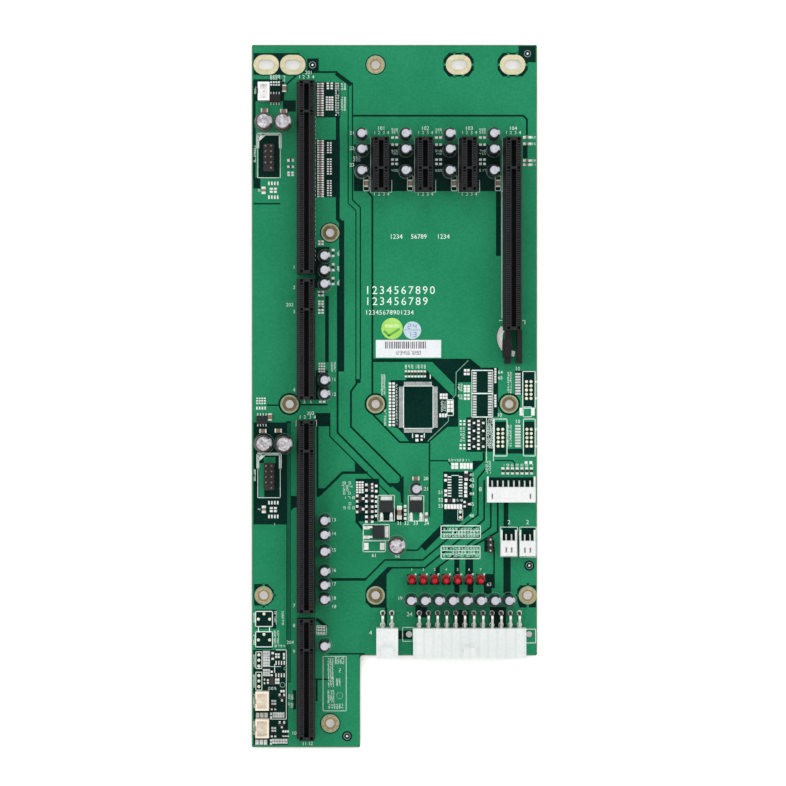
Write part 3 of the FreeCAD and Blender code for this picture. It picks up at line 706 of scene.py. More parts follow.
@dataclass
class Studio:
    """Camera straight over the board, pale floor and soft light from the sides."""

    camera_x: float = -0.65
    camera_y: float = 1.43
    distance: float = 1600.0
    frame_width: float = 363.6
    sensor: float = 36.0
    floor_size: float = 6.0
    floor_lift: float = 0.3
    lamp_size: float = 0.9
    lamp_watts: float = 5.6
    lamp_places: tuple = ((-1.05, 0.25, 1.0), (1.05, 0.25, 1.0), (0.0, -1.2, 0.95), (0.0, 1.25, 0.95))

    def build(self) -> None:
        """Set up the camera, the floor, the lamps and the world."""
        bpy.context.scene.view_settings.view_transform = "Standard"
        self.add_camera()
        self.add_floor()
        for place in self.lamp_places:
            self.add_lamp(Vector(place))
        self.light_world()

    def add_camera(self) -> None:
        """Point the camera straight down at the board."""
        height = (BOARD_HIGH + self.distance) * MM
        place = (self.camera_x * MM, self.camera_y * MM, height)
        bpy.ops.object.camera_add(location=place, rotation=(0, 0, 0))
        camera = bpy.context.object
        camera.name = "overhead_camera"
        camera.data.sensor_width = self.sensor
        camera.data.lens = self.sensor * self.distance / self.frame_width
        camera.data.clip_start = 0.01
        bpy.context.scene.camera = camera

    def add_floor(self) -> None:
        """Lay a pale floor under the part, lifted to white for the eye and for reflections."""
        deselect_all()
        bpy.ops.mesh.primitive_plane_add(size=self.floor_size)
        floor = bpy.context.object
        floor.name = "floor"
        material = bpy.data.materials.new("pale_floor")
        material.use_nodes = True
        wires = Wiring(material.node_tree)
        path = wires.add("LightPath").outputs
        seen = wires.number("MAXIMUM", path["Is Camera Ray"], path["Is Glossy Ray"])
        seen = wires.number("MAXIMUM", seen, path["Is Transmission Ray"])
        wires.feed_all(
            material.node_tree.nodes["Principled BSDF"],
            Base_Color=(0.93, 0.93, 0.93, 1), Roughness=0.8, Specular_IOR_Level=0.0,
            Emission_Color=(1, 1, 1, 1), Emission_Strength=wires.number("MULTIPLY", seen, self.floor_lift),
        )
        floor.data.materials.append(material)

    def add_lamp(self, place: Vector) -> None:
        """Add one soft lamp that looks at the board."""
        aim = place.to_track_quat("Z", "Y").to_euler()
        bpy.ops.object.light_add(type="AREA", location=place, rotation=aim)
        lamp = bpy.context.object
        lamp.data.size = self.lamp_size
        lamp.data.energy = self.lamp_watts

    def light_world(self) -> None:
        """Light the room: white round the horizon, paler overhead, and dark where the camera hangs."""
        world = bpy.data.worlds.new("studio_room")
        world.use_nodes = True
        bpy.context.scene.world = world
        wires = Wiring(world.node_tree)
        height = wires.axis(wires.add("TexCoord").outputs["Generated"], "Z")
        wall = wires.ramp(height, 0.12, 0.4, 1.0, 0.55)
        level = wires.number("MULTIPLY", wall, wires.ramp(height, 0.9938, 0.9988, 1.0, 0.05))
        shade = wires.add("CombineXYZ", X=level, Y=level, Z=level).outputs["Vector"]
        wires.feed_all(world.node_tree.nodes["Background"], Color=shade, Strength=1.0)


# Board


@dataclass(frozen=True)
class Channel:
    """A gap between two areas of copper, along straight runs."""

    width: float
    points: tuple[Place, ...]

    def cutters(self) -> list[Piece]:
        """Return one block through the copper for each run."""
        return self.strokes((-1, 1))

    def strokes(self, z: Span) -> list[Piece]:
        """Return one block for each run, long enough to fill the corners.

        Args:
            z: Lowest and highest height over the board's top face.

        Returns:
            The blocks in order.
        """
        blocks = []
        for (x0, y0), (x1, y1) in zip(self.points, self.points[1:]):
            half = math.hypot(x1 - x0, y1 - y0) / 2 + self.width * 0.2
            middle_x = (x0 + x1) / 2
            middle_y = (y0 + y1) / 2
            turn = math.degrees(math.atan2(y1 - y0, x1 - x0))
            across = (middle_y - self.width / 2, middle_y + self.width / 2)
            blocks.append(add_block((middle_x - half, middle_x + half), across, z, turn))
        return blocks


@dataclass(frozen=True)
class Field:
    """A rectangle without copper."""

    left: float
    low: float
    right: float
    high: float

    def cutter(self) -> Piece:
        """Return the rectangle as a block through the copper."""
        return add_block((self.left, self.right), (self.low, self.high), (-1, 1))

    def island(self) -> Piece:
        """Return the rectangle as a block of copper."""
        return add_block((self.left, self.right), (self.low, self.high), (0, POUR_HEIGHT))


@dataclass(frozen=True)
class Patch:
    """A many-cornered area without copper."""

    corners: tuple[Place, ...]

    def cutter(self) -> Piece:
        """Return the area as a slab through the copper."""
        return add_slab(self.corners, (-1, 1))


# Width of each gap and the places it runs through
CHANNELS = [Channel(row[0], pairs(row[1:])) for row in (
    (0.9, -45.5, 149.9, -26.5, 149.9), (1.9, -26.8, 149.2, -20.2, 144.2),
    (0.6, -19.4, 145, -19.4, 90.8, -15.75, 87.3, -15.75, 8),
    (0.5, -21.4, 144.5, -21.4, 89.2, -17.8, 85.8, -17.8, 6.5),
    (0.9, -16.8, 6.8, -20.1, 2.2, -20.1, -14.2, 2.8, -37, 3.4, -49),
    (0.9, -19.4, 129.7, 59.6, 129.7, 61.3, 128, 61.3, 121), (1.8, -26.2, 129.5, -26.2, 82, -24.6, 80.3),
    (2.4, -24.4, 80.8, -24.4, 51), (3.4, -24.9, 51, -24.9, 12), (0.9, -26.3, 12, -26.3, -16.9, -1.5, -42),
    (1.7, -31.2, 46, -31.2, 16), (0.6, -29.9, -8, -29.9, -18.6, -12.4, -36, -2, -46),
    (0.9, -12.2, 94.5, -10.2, 92, -10.2, 0, -10.2, -8.2, 2.4, -21.3, 15.6, -21.3),
    (1.5, -10, 16.5, 17.7, 16.5), (0.7, 16.2, -21, 16.2, -55.6),
    (0.8, -29.5, -84.8, -13.4, -84.8, -4.4, -75.8, 13.2, -75.8, 33.5, -58.6),
    (0.8, 33.5, -58.6, 38.6, -55, 38.6, -38, 42.4, -33.4),
    (0.8, -12.8, -89.4, -3, -79.4, 14, -79.4, 41.5, -57.2, 41.5, -39),
    (0.8, 18.6, -80.4, 44.6, -60.6, 44.6, -49), (0.9, 36.4, -69.4, 47.8, -62.8, 47.8, -49),
    (2.2, 51.6, -49.5, 51.6, -60.8), (3.4, 52.1, -73, 52.1, -91), (0.7, 46.1, -70, 46.1, -88.7),
    (0.7, 5.5, -71.3, 10.6, -71.3, 22, -60.8), (3.2, 13.5, -70, 22.8, -60.6),
    (1.2, -12.6, -35.4, -24, -35.4, -34.5, -45.6), (0.9, -35.6, -14, -35.6, -45.5),
    (1.2, -17.6, -57.9, -14.3, -61.9), (2.1, -48.9, -12, -48.9, -132), (0.7, -65, 89, -53, 89),
    (0.7, -58.8, -4.2, -46, -4.2), (0.7, -48, -4, -31, -4), (1.6, -35.9, -103.2, -31.2, -106.8),
    (0.7, -30.3, -119.2, -13.8, -119.2), (0.7, -37, -131, -29.8, -131), (0.9, -36, -131, -36, -141),
    (1, -3.9, -98, -3.9, -106), (0.6, 16.2, -29.9, 24.6, -29.9, 26, -31.8),
    (0.6, 46.6, -29.8, 54.6, -29.8, 55.4, -30.6, 55.4, -33), (0.8, -45.8, 148, -51.2, 143),
    (1.3, -29.5, -84.8, -13.4, -84.8),
)]
# Rectangles by their limits, other areas by their corners
FIELDS = [Field(*row) if len(row) == 4 else Patch(pairs(row)) for row in (
    (-65.2, 148.6, -43.8, 158.7), (-40.4, 150.2, -35, 156.2), (57.4, 154.4, 65.4, 162),
    (-65.2, 136.4, -51, 146.6), (-51.5, 131.6, -45.6, 136.8), (-65.4, 99.8, -64.2, 146),
    (-63.4, 100.8, -53, 121), (-65.2, 96, -62, 101), (-36.4, 128.9, -25, 145.2), (-36.4, 92, -25.2, 118.6),
    (-18.8, 94.8, 49, 116.4), (47, 64.8, 49.2, 95), (59.4, 110, 61.6, 116), (-36.6, 50, -30, 69),
    (-36.4, -1.6, -30.8, 12), (-36.6, -14, -29.6, -7.8), (-17.9, 6.1, -15.6, 7.9),
    (-65.2, -59.4, -49.6, -12.2), (-48.1, -46.2, -44.9, -46.2, -44.9, -51.6, -46.4, -51.6, -48.1, -53.4),
    (17.6, 17.3, 35.2, 17.3, 40.1, 13.2, 46.2, 13.2, 46.2, -10.3, 35.6, -10.3, 35.6, 6.4, 29.4, 6.4, 29.4,
     0.2, 27.75, 0.6, 27.75, 5.4, 17.6, 15.65),
    (-1.8, 7.4, 5.5, 7.4, 5.5, 8.4, 14.6, 8.4, 14.6, 12.3, 26.9, 0.1, 29.5, 0.1, 29.5, -14.2, 24.6, -14.2,
     15.5, -21.9, 6.8, -21.9, 6.8, -21, 4.2, -17.6, 1.4, -14.8, -1.8, -14.3),
    (33.2, -25.8, 45.6, -9.8), (46, -9.5, 48, 13.2), (46.4, -26.8, 51.6, -11.8), (59.6, -5, 64.8, 11.8),
    (59.6, -26.8, 64.8, -11.8), (55.6, 0.4, 59, 11.6), (51.8, -26.6, 59.4, -24.4),
    (22.5, -34.9, 35.9, -34.9, 35.9, -53.4, 30, -59.2, 22.5, -59.2),
    (36.2, -29.9, 41.8, -29.9, 36.2, -35.2), (40.8, -30, 41.9, -26), (-18, -58, -7, -38.2),
    (-6, -58.4, 5, -52),
    (-2.8, -40.2, 1.6, -40.2, 2.4, -39.2, 3.9, -37, 4.3, -37, 4.3, -51, 3.7, -51, 3.2, -45.2),
    (-18.3, -30.6, -12.6, -36, -18.3, -36), (41.6, -72, 46.2, -66.5), (41.2, -88.8, 46.3, -82.3),
    (41.4, -91.5, 45, -88), (27.7, -91, 30.1, -74.6), (32.8, -83.5, 36.4, -74.6), (33.8, -91, 36.5, -83),
    (9.7, -102.4, 15, -96.6), (27.3, -107, 34.4, -98.9), (44.1, -107, 51.6, -97.5),
    *((5.9 + 5.3 * i, -87.3, 10.2 + 5.3 * i, -82.3) for i in range(7)),
    (18.8, -85, 18.8, -80.5, 21, -77.8, 21, -85),
    (-3, -79.2, -0.4, -79.2, -3.6, -82.6, -3.6, -97.9, -10.8, -97.9, -13.4, -95.4, -13.4, -90),
    (-64.9, -86.9, -58.7, -86.9, -55.8, -89.8, -55.8, -94.1, -58.6, -96.9, -64.9, -96.9),
    (-35.9, -42.6, -30.6, -42.6, -34.9, -46.6, -35.9, -46.6),
    (58.2, -87.5, 65.5, -87.5, 65.5, -97.8, 57.9, -97.8, 56.8, -94.5, 56.8, -89.2), (50, -66.8, 56.6, -61),
    (59, -66.8, 65, -61), (43.5, -42.2, 64.5, -37.6), (1.6, -112.4, 8.6, -108.4),
    (-64.2, -107.6, -54.6, -98.8), (-64.2, -117, -56.4, -108.8), (-65.2, -161.4, -49.2, -117.4),
    (-47, -145, -45.4, -136),
)]
ISLANDS = [Field(-62.6, -46.7, -60.2, -31.0), Field(-60.4, -31.0, -55.0, -28.2)]


@dataclass
class BoardFaces:
    """The board's bare mask, the copper areas on both faces, and the rings round its holes."""

    half_width: float = 66.0
    half_length: float = 162.5
    edge_gap: float = 0.35
    corner: float = 1.2
    notch_left: float = -15.8
    notch_top: float = -120.0
    ring_gap: float = 0.5
    wide_gap: float = 0.9
    ring_outer: float = 4.25
    hole_r: float = 1.9
    oblong_r: float = 2.2
    oblong_run: float = 1.3
    oblong_outer: float = 4.6
    oblong_y: float = 153.3
    ring_height: float = 0.12
    ring_steps: int = 48
    ring_line: tuple = (2.35, 2.62)
    vias: int = 8
    via_circle: float = 3.35
    via_r: float = 0.3
    via_holes: tuple = ((-29.7, 75.6), (-29.7, -151.4))
    round_holes: tuple = (
        (-8.7, 153.3), (-29.7, 75.6), (-48.5, -3.7), (-8.7, -3.7), (53.1, -3.7),
        (-60.5, -92.2), (-8.7, -92.2), (61.7, -92.2), (-29.7, -151.4),
    )
    tan_holes: tuple = ((-29.7, 75.6), (-48.5, -3.7), (-8.7, -3.7), (53.1, -3.7), (-8.7, -92.2))
    relieved_holes: tuple = ((-60.5, -92.2), (61.7, -92.2))
    ring_band: float = 3.4
    oblong_holes: tuple = (-59.3, -47.0, 29.7, 54.7)
    spoked_holes: tuple = (29.7, 54.7)
    spoke_half: float = 0.5
    relief: tuple = (
        (7, 2.4), (4.6, 5.5), (-4.6, 5.5), (-7, 2.4), (-7, -2.4), (-4.6, -5.5), (4.6, -5.5), (7, -2.4),
    )
    latch_hole: tuple = (56.2, 27.0, 7.5, 145.0, 262.0)
    latch_width: float = 3.0
    side_holes: tuple = ((6.8, -110.2), (62.4, -110.2))
    side_hole_r: float = 1.7
    inner_strip: tuple = (-49.6, -132.0, -48.0, -12.5)
    targets: tuple = ((-37.9, 153.2), (61.6, 158.4), (62.4, -78.4), (-21.9, -157.3))
    target_r: float = 1.9

    def build(self) -> None:
        """Make and dress every piece of the board's faces."""
        dress(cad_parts["circuit_board"], BARE_MASK)
        mask, under = "solder_mask", BOARD_LOW - POUR_HEIGHT
        for piece, look, slot in (
            (self.add_copper(CHANNELS, FIELDS, "copper_top", BOARD_HIGH), COPPER_MASK, mask),
            (self.add_copper(CHANNELS[1:12], [], "copper_bottom", under), COPPER_MASK, mask),
            (self.add_strip(), INNER_MASK, mask),
            (self.add_spokes(), COPPER_MASK, mask),
            (self.add_rim(), RIM_LAMINATE, mask),
            (self.add_ring_lines(), RING_LINE, None), (self.add_vias(), VIA_DARK, None),
        ):
            hand_over(piece, look)
        rings = self.add_rings()
        dress(rings, RING_GOLD, RING_PALE, RING_INNER, RING_TAN)
        self.paint_rings(rings)
        hand_over(rings)
        self.add_targets()

    def paint_rings(self, rings: Piece) -> None:
        """Give the round rings a pale outer band and a tan or brown inner one."""
        for face in rings.data.polygons:
            for hole in self.round_holes:
                reach = (face.center.xy / MM - Vector(hole)).length
                if reach < self.ring_outer + 1:
                    inner = 3 if hole in self.tan_holes else 2
                    face.material_index = 1 if reach > self.ring_band else inner

    def add_strip(self) -> Piece:
        """Add the darker copper that lies in a wide gap."""
        left, low, right, high = self.inner_strip
        return join([add_block((left, right), (low, high), (0, POUR_HEIGHT / 2))], "inner_copper")

    def add_spokes(self) -> Piece:
        """Add the short copper bridges to the rings that stand in wide gaps."""
        half, gap = self.spoke_half, self.wide_gap
        spokes = []
        for x in self.spoked_holes:
            for side in (-1, 1):
                reach = self.oblong_outer + gap / 2
                spokes.append((x + side * (reach + self.oblong_run), self.oblong_y, gap, half))
                y = self.oblong_y + side * reach
                spokes += [(x + step, y, half, gap) for step in (-2.0, 2.0)]
        reach = self.ring_outer + gap / 2
        for x, y in self.relieved_holes:
            spokes.append((x - math.copysign(reach, x), y, gap, half))
            spokes += [(x, level, half, gap) for level in (y - reach, y + reach)]
        z = (0, POUR_HEIGHT)
        return join([add_block((x - w, x + w), (y - h, y + h), z) for x, y, w, h in spokes], "ring_spokes")

    def add_rim(self) -> Piece:
        """Add the thin line of bare laminate along the board's edges."""
        wide, long, gap, rest = self.half_width, self.half_length, self.edge_gap, self.corner
        left, top = self.notch_left, self.notch_top
        limits = (
            ((-wide, -wide + gap), (-long + rest, long - rest)),
            ((wide - gap, wide), (top + rest, long - rest)),
            ((-wide + rest, wide - rest), (long - gap, long)),
            ((-wide + rest, left - rest), (-long, -long + gap)),
            ((left - gap, left), (-long + rest, top - rest)),
            ((left + rest, wide - rest), (top, top + gap)),
        )
        return join([add_block(x, y, (0, POUR_HEIGHT / 2)) for x, y in limits], "board_rim")

    def add_ring_lines(self) -> Piece:
        """Add the darker line round each round hole."""
        model = add_ring(*self.ring_line, (self.ring_height - 0.02, self.ring_height + 0.02), self.ring_steps)
        return copy_out(model, places_at(self.round_holes), "ring_lines")

    def latch_channel(self) -> Channel:
        """Return the curved hole round the card latch as a run of short channels."""
        x, y, radius, first, last = self.latch_hole
        turns = [math.radians(first + (last - first) * i / 12) for i in range(13)]
        points = tuple((x + radius * math.cos(a), y + radius * math.sin(a)) for a in turns)
        return Channel(self.latch_width, points)

    def add_copper(
        self, channels: list[Channel], fields: list[Field | Patch], name: str, low: float
    ) -> Piece:
        """Cut a copper sheet to the board's outline, its channels, bare fields and hole gaps.

        Args:
            channels: Gaps between copper areas.
            fields: Areas without copper.
            name: Name of the piece.
            low: Height of the sheet's underside in the part's frame.

        Returns:
            The copper sheet.
        """
        wide = self.half_width - self.edge_gap
        long = self.half_length - self.edge_gap
        sheet = add_block((-wide, wide), (-long, long), (0, POUR_HEIGHT))
        notch_x = (self.notch_left - self.edge_gap, self.half_width + 5)
        cutters = [add_block(notch_x, (-self.half_length - 5, self.notch_top + self.edge_gap), (-1, 1))]
        for channel in channels:
            cutters += channel.cutters()
        cutters += self.latch_channel().cutters()
        cutters += [bare.cutter() for bare in fields]
        for x, y in self.round_holes:
            gap = self.wide_gap if abs(y) < 10 else self.ring_gap
            cutters.append(self.add_disc(x, y, self.ring_outer + gap, 0))
        for x in self.oblong_holes:
            if x in self.spoked_holes:
                corners = [(x + dx, self.oblong_y + dy) for dx, dy in self.relief]
                cutters.append(Patch(tuple(corners)).cutter())
            else:
                reach = self.oblong_outer + self.ring_gap
                cutters.append(self.add_disc(x, self.oblong_y, reach, self.oblong_run))
        cutters += [self.add_disc(x, y, self.target_r + self.ring_gap, 0) for x, y in self.targets]
        cutters += [self.add_disc(x, y, self.side_hole_r, 0) for x, y in self.side_holes]
        cutter = join(cutters, "copper_cutter")
        apply_modifier(sheet, "BOOLEAN", object=cutter, operation="DIFFERENCE", solver="EXACT", use_self=True)
        bpy.data.objects.remove(cutter)
        if fields:
            sheet = join([sheet, *(area.island() for area in ISLANDS)], name)
        sheet.data.transform(Matrix.Translation((0, 0, (low - BOARD_HIGH) * MM)))
        sheet.name = name
        return sheet

    def add_disc(self, x: float, y: float, radius: float, run: float) -> Piece:
        """Add a round or oblong cutter through the copper."""
        disc = add_lathe([(0, -1), (radius, -1), (radius, 1), (0, 1)], self.ring_steps)
        if run:
            pull_apart(disc, run)
        disc.data.transform(place_at(x, y))
        return disc

    def ring_profile(self, inner: float, outer: float) -> list[Place]:
        """Return the section of a ring with two bands and a softened rim."""
        top = self.ring_height
        rim = top / 2
        return [
            (inner, 0), (inner, top), (self.ring_band, top), (outer - rim, top), (outer, rim), (outer, 0),
            (inner, 0),
        ]

    def add_rings(self) -> Piece:
        """Add the plated rings of every mounting hole, on both faces."""
        faces = (0, BOARD_LOW - BOARD_HIGH - self.ring_height)
        model = add_lathe(self.ring_profile(self.hole_r + 0.05, self.ring_outer), self.ring_steps)
        spots = [place_at(x, y, z) for x, y in self.round_holes for z in faces]
        rounds = copy_out(model, spots, "round_rings")
        model = add_lathe(self.ring_profile(self.oblong_r + 0.05, self.oblong_outer), self.ring_steps)
        model.data.transform(Matrix.Rotation(math.pi / self.ring_steps, 4, "Z"))
        pull_apart(model, self.oblong_run)
        spots = [place_at(x, self.oblong_y, z) for x in self.oblong_holes for z in faces]
        rings = join([rounds, copy_out(model, spots, "oblong_rings")], "hole_rings")
        smooth(rings)
        return rings

    def add_vias(self) -> Piece:
        """Add the small stitching holes in the round rings."""
        model = add_lathe([(0, 0), (self.via_r, 0), (self.via_r, 0.02), (self.via_r / 2, 0.03), (0, 0.03)], 8)
        turns = [2 * math.pi * (i + 0.5) / self.vias for i in range(self.vias)]
        steps = [(self.via_circle * math.cos(turn), self.via_circle * math.sin(turn)) for turn in turns]
        spots = [(x + dx, y + dy) for x, y in self.via_holes for dx, dy in steps]
        return copy_out(model, places_at(spots, self.ring_height), "ring_vias")

    def add_targets(self) -> None:
        """Add the four alignment marks: a tinned dot in a bare disc with an ink ring."""
        dot = add_lathe([(0, 0), (0.5, 0), (0.5, 0.06), (0.4, 0.09), (0, 0.09)], 16)
        hand_over(copy_out(dot, places_at(self.targets), "target_dots"), PAD_TIN)
        ring = add_ring(1.3, 1.62, (0, INK_HEIGHT), 32)
        hand_over(copy_out(ring, places_at(self.targets), "target_rings"), GREY_INK)


# Card slots


@dataclass(frozen=True)
class CardSlot:
    """One edge-card slot, by its node and the length of its housing."""

    node: str
    x: float
    length: float

    def top_y(self) -> float:
        """Return the y of the housing's upper end."""
        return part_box(self.node)[1].y / MM


@dataclass
class CardSlots:
    """The slots' housings, the bars between their contact windows, and their contacts and joints."""

    host_x: float = -40.4
    card_x: float = -6.1
    card_pitch: float = 20.32
    lengths: tuple = (89.0, 56.0, 89.0, 56.0)
    short_length: float = 25.0
    pitch: float = 1.0
    key_from_top: float = 14.3
    key_gap: float = 1.1
    end_gap: float = 2.2
    inner: float = 1.65
    outer: float = 3.0
    floor: float = 4.2
    bar_top: float = 11.0
    bar_width: float = 0.45
    joint_rows: tuple = (1.15, 3.0)
    joint_r: float = 0.46
    joint_drop: float = 0.75

    def slots(self) -> list[CardSlot]:
        """Return every slot, host column first."""
        found = [CardSlot(f"host_slot_{i + 1}_housing", self.host_x, n) for i, n in enumerate(self.lengths)]
        for i in range(3):
            x = self.card_x + i * self.card_pitch
            found.append(CardSlot(f"card_slot_{i + 1}_housing", x, self.short_length))
        found.append(CardSlot("long_card_slot_housing", self.card_x + 3 * self.card_pitch, self.lengths[0]))
        return found

    def window_rows(self, slot: CardSlot) -> list[float]:
        """Return the y of every contact window of a slot.

        Args:
            slot: The slot.

        Returns:
            Heights along the board, from the upper end down.
        """
        key = slot.top_y() - self.key_from_top
        upper = round((self.key_from_top - self.key_gap - self.end_gap) / self.pitch)
        lower = int((slot.length - self.key_from_top - self.key_gap - self.end_gap) / self.pitch)
        above = [key + self.key_gap + (i + 0.5) * self.pitch for i in range(upper)]
        below = [key - self.key_gap - (i + 0.5) * self.pitch for i in range(lower)]
        return above + below

    def build(self) -> None:
        """Make and dress the slots' pieces."""
        bars, blades, joints = [], [], []
        middle = (self.inner + self.outer) / 2
        for slot in self.slots():
            dress(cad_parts[slot.node], SLOT_BLACK)
            for row, y in enumerate(self.window_rows(slot)):
                for side in (-1, 1):
                    bars.append(place_at(slot.x + side * middle, y - self.pitch / 2))
                    blades.append(place_at(slot.x + side * middle, y, 0, 0 if side > 0 else 180))
                    out = self.joint_rows[(row + (side > 0)) % 2]
                    joints.append(place_at(slot.x + side * out, y, BOARD_LOW - BOARD_HIGH))
        hand_over(copy_out(self.bar_model(), bars, "slot_window_bars"), BAR_BLACK_PAINTED_LIGHT)
        hand_over(copy_out(self.blade_model(), blades, "slot_contacts"), CONTACT_GOLD_PAINTED_SHADE)
        joint = solder_joint(self.joint_r, self.joint_drop, 6)
        hand_over(copy_out(joint, joints, "slot_solder_joints"), TIN)

    def bar_model(self) -> Piece:
        """Model one bar between two windows, with its top edges broken."""
        half_x = (self.outer - self.inner) / 2
        half_y = self.bar_width / 2
        bar = add_block((-half_x, half_x), (-half_y, half_y), (self.floor, self.bar_top))
        pick(bar, "FACE", faces_up)
        bpy.ops.mesh.inset(thickness=0.1 * MM, depth=0.1 * MM)
        deselect_all()
        return to_origin(bar)

    def blade_model(self) -> Piece:
        """Model one spring contact, leaning to the card gap and curling back at its tip."""
        blade = add_block((0.2, 0.42), (-0.22, 0.22), (self.floor, self.floor + 1.0))
        for lean, rise in ((-0.5, 1.6), (-0.08, 0.7), (0.3, 0.7)):
            top = max(vertex.co.z for vertex in blade.data.vertices)
            pick(blade, "FACE", lambda face: face.center.z > top - 1e-6 and face.normal.z > 0.5)
            bpy.ops.mesh.extrude_region_move(TRANSFORM_OT_translate={"value": (lean * MM, 0, rise * MM)})
            deselect_all()
        return to_origin(blade)


def solder_joint(radius: float, height: float, sides: int) -> Piece:
    """Model a solder joint that hangs from the origin, with a cut lead at its tip.

    Args:
        radius: Radius on the board.
        height: How far it stands out.
        sides: Number of its sides.

    Returns:
        The joint, pointing down.
    """
    waist = radius * 0.55
    profile = [(0, 0), (radius, 0), (waist, -height * 0.45), (waist * 0.7, -height), (0, -height)]
    return add_lathe(profile, sides)


# Capacitors


@dataclass(frozen=True)
class Can:
    """Sizes of one kind of radial capacitor."""

    radius: float
    height: float
    top_r: float
    vents: int
    sleeve: Finish
    top: Finish
    lead_spread: float

    def profile(self) -> list[Place]:
        """Return the section: beaded foot, sleeve, rolled lip and sunk top."""
        r, h, lip = self.radius, self.height, self.radius - self.top_r
        return [
            (0, 0), (r * 0.8, 0), (r * 0.97, 0.25), (r, 0.7), (r, 1.3), (r * 0.93, 1.6), (r * 0.93, 1.8),
            (r, 2.1), (r, h - lip), (r - lip * 0.3, h - lip * 0.35), (r - lip * 0.8, h),
            (self.top_r, h - 0.02),
            (self.top_r - 0.08, h - 0.16), (self.top_r * 0.35, h - 0.14), (0, h - 0.14),
        ]


SMALL_CAN = Can(2.7, 11.0, 1.85, 0, CAN_SLEEVE, CAN_TOP, 2.0)
LARGE_CAN = Can(4.0, 11.5, 3.1, 3, BROWN_SLEEVE, WIDE_CAN_TOP, 3.5)
CAN_PLACES = (
    ("host_slot_capacitors", [(-32.1, y) for y in (
        64.6, 58.0, 51.7, 7.4, 1.1, -57.3, -63.8, -71.5, -80.7, -87.0, -93.6, -115.0)]),
    ("card_slot_capacitors", [(-15.1 + 20.32 * i, y) for i in range(4) for y in (120.9, 113.7, 103.9)]),
    ("power_capacitors", [(7.7 + 6.45 * i, -94.1) for i in range(8)] + [(10.1, -42.7)]),
    ("large_capacitors", [(-60.1, 126.4), (-51.5, 126.3), (-60.3, -21.9), (-50.9, -22.1), (1.0, -68.9)]),
)


@dataclass
class Capacitors:
    """Every radial capacitor, standing on its node's place."""

    steps: int = 32
    stripe_half_deg: float = 26.0
    stripe_turn_deg: float = 8.0
    vent_width: float = 0.14

    def build(self) -> None:
        """Replace each group of cans by detailed ones."""
        for node, places in CAN_PLACES:
            kind = LARGE_CAN if node.startswith("large") else SMALL_CAN
            name = node.replace("capacitors", "can")
            cans = copy_out(self.model(kind), places_at(places), name + "s")
            hand_over(cans, None, [node])
            if kind.vents:
                vents = copy_out(self.vent_model(kind), places_at(places), name + "_vents")
                hand_over(vents, CAN_SCORE)

    def model(self, kind: Can) -> Piece:
        """Model one can with its sleeve, its pale stripe and its bare top."""
        can = add_lathe(kind.profile(), self.steps)
        can.data.transform(Matrix.Rotation(math.pi / self.steps, 4, "Z"))
        dress(can, kind.sleeve, CAN_STRIPE, kind.top)
        limit = math.radians(self.stripe_half_deg)
        middle = math.radians(self.stripe_turn_deg)
        inside = (kind.top_r + 0.02) * MM
        high = kind.height * 0.9 * MM
        paint_faces(can, 1, lambda f: abs(math.atan2(f.center.y, f.center.x) - middle) < limit)
        paint_faces(can, 2, lambda f: f.center.z > high and f.center.xy.length < inside)
        smooth(can, 40)
        return can

    def vent_model(self, kind: Can) -> Piece:
        """Model the raised scores of a can's top."""
        reach, half, low = kind.top_r * 0.72, self.vent_width / 2, kind.height - 0.15
        turns = [180 * i / kind.vents + 20 for i in range(kind.vents)]
        scores = [add_block((-reach, reach), (-half, half), (low, low + 0.06), turn) for turn in turns]
        return to_origin(join(scores, "vent_model"))


# Lamps


@dataclass
class Lamps:
    """The row of leaning red lamps."""

    first_x: float = 8.05
    pitch: float = 5.3
    y: float = -84.2
    count: int = 7
    radius: float = 1.5
    flange: float = 1.9
    height: float = 5.2
    lift: float = 1.6
    lean: float = 18.0
    steps: int = 24

    def profile(self) -> list[Place]:
        """Return the lens section: flange, barrel and dome."""
        r, straight = self.radius, self.height - self.radius
        turns = [math.pi / 2 * i / 6 for i in range(7)]
        dome = [(r * math.cos(turn), straight + r * math.sin(turn)) for turn in turns]
        return [(0, 0), (self.flange, 0), (self.flange, 0.7), (r, 0.9), *dome[:-1], (0, self.height)]

    def spots(self) -> list[Place]:
        """Return where each lamp stands."""
        return [(self.first_x + i * self.pitch, self.y) for i in range(self.count)]

    def build(self) -> None:
        """Replace the lamps by domed lenses with a flange."""
        lens = add_lathe(self.profile(), self.steps)
        smooth(lens, 50)
        lean = Matrix.Rotation(math.radians(self.lean), 4, "X")
        places = [place @ lean for place in places_at(self.spots(), self.lift)]
        lenses = copy_out(lens, places, "indicator_lenses")
        hand_over(lenses, LENS_RED, ["indicator_lamps"])
        dress(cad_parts["indicator_lamp_leads"], TIN)


# Connectors and chips


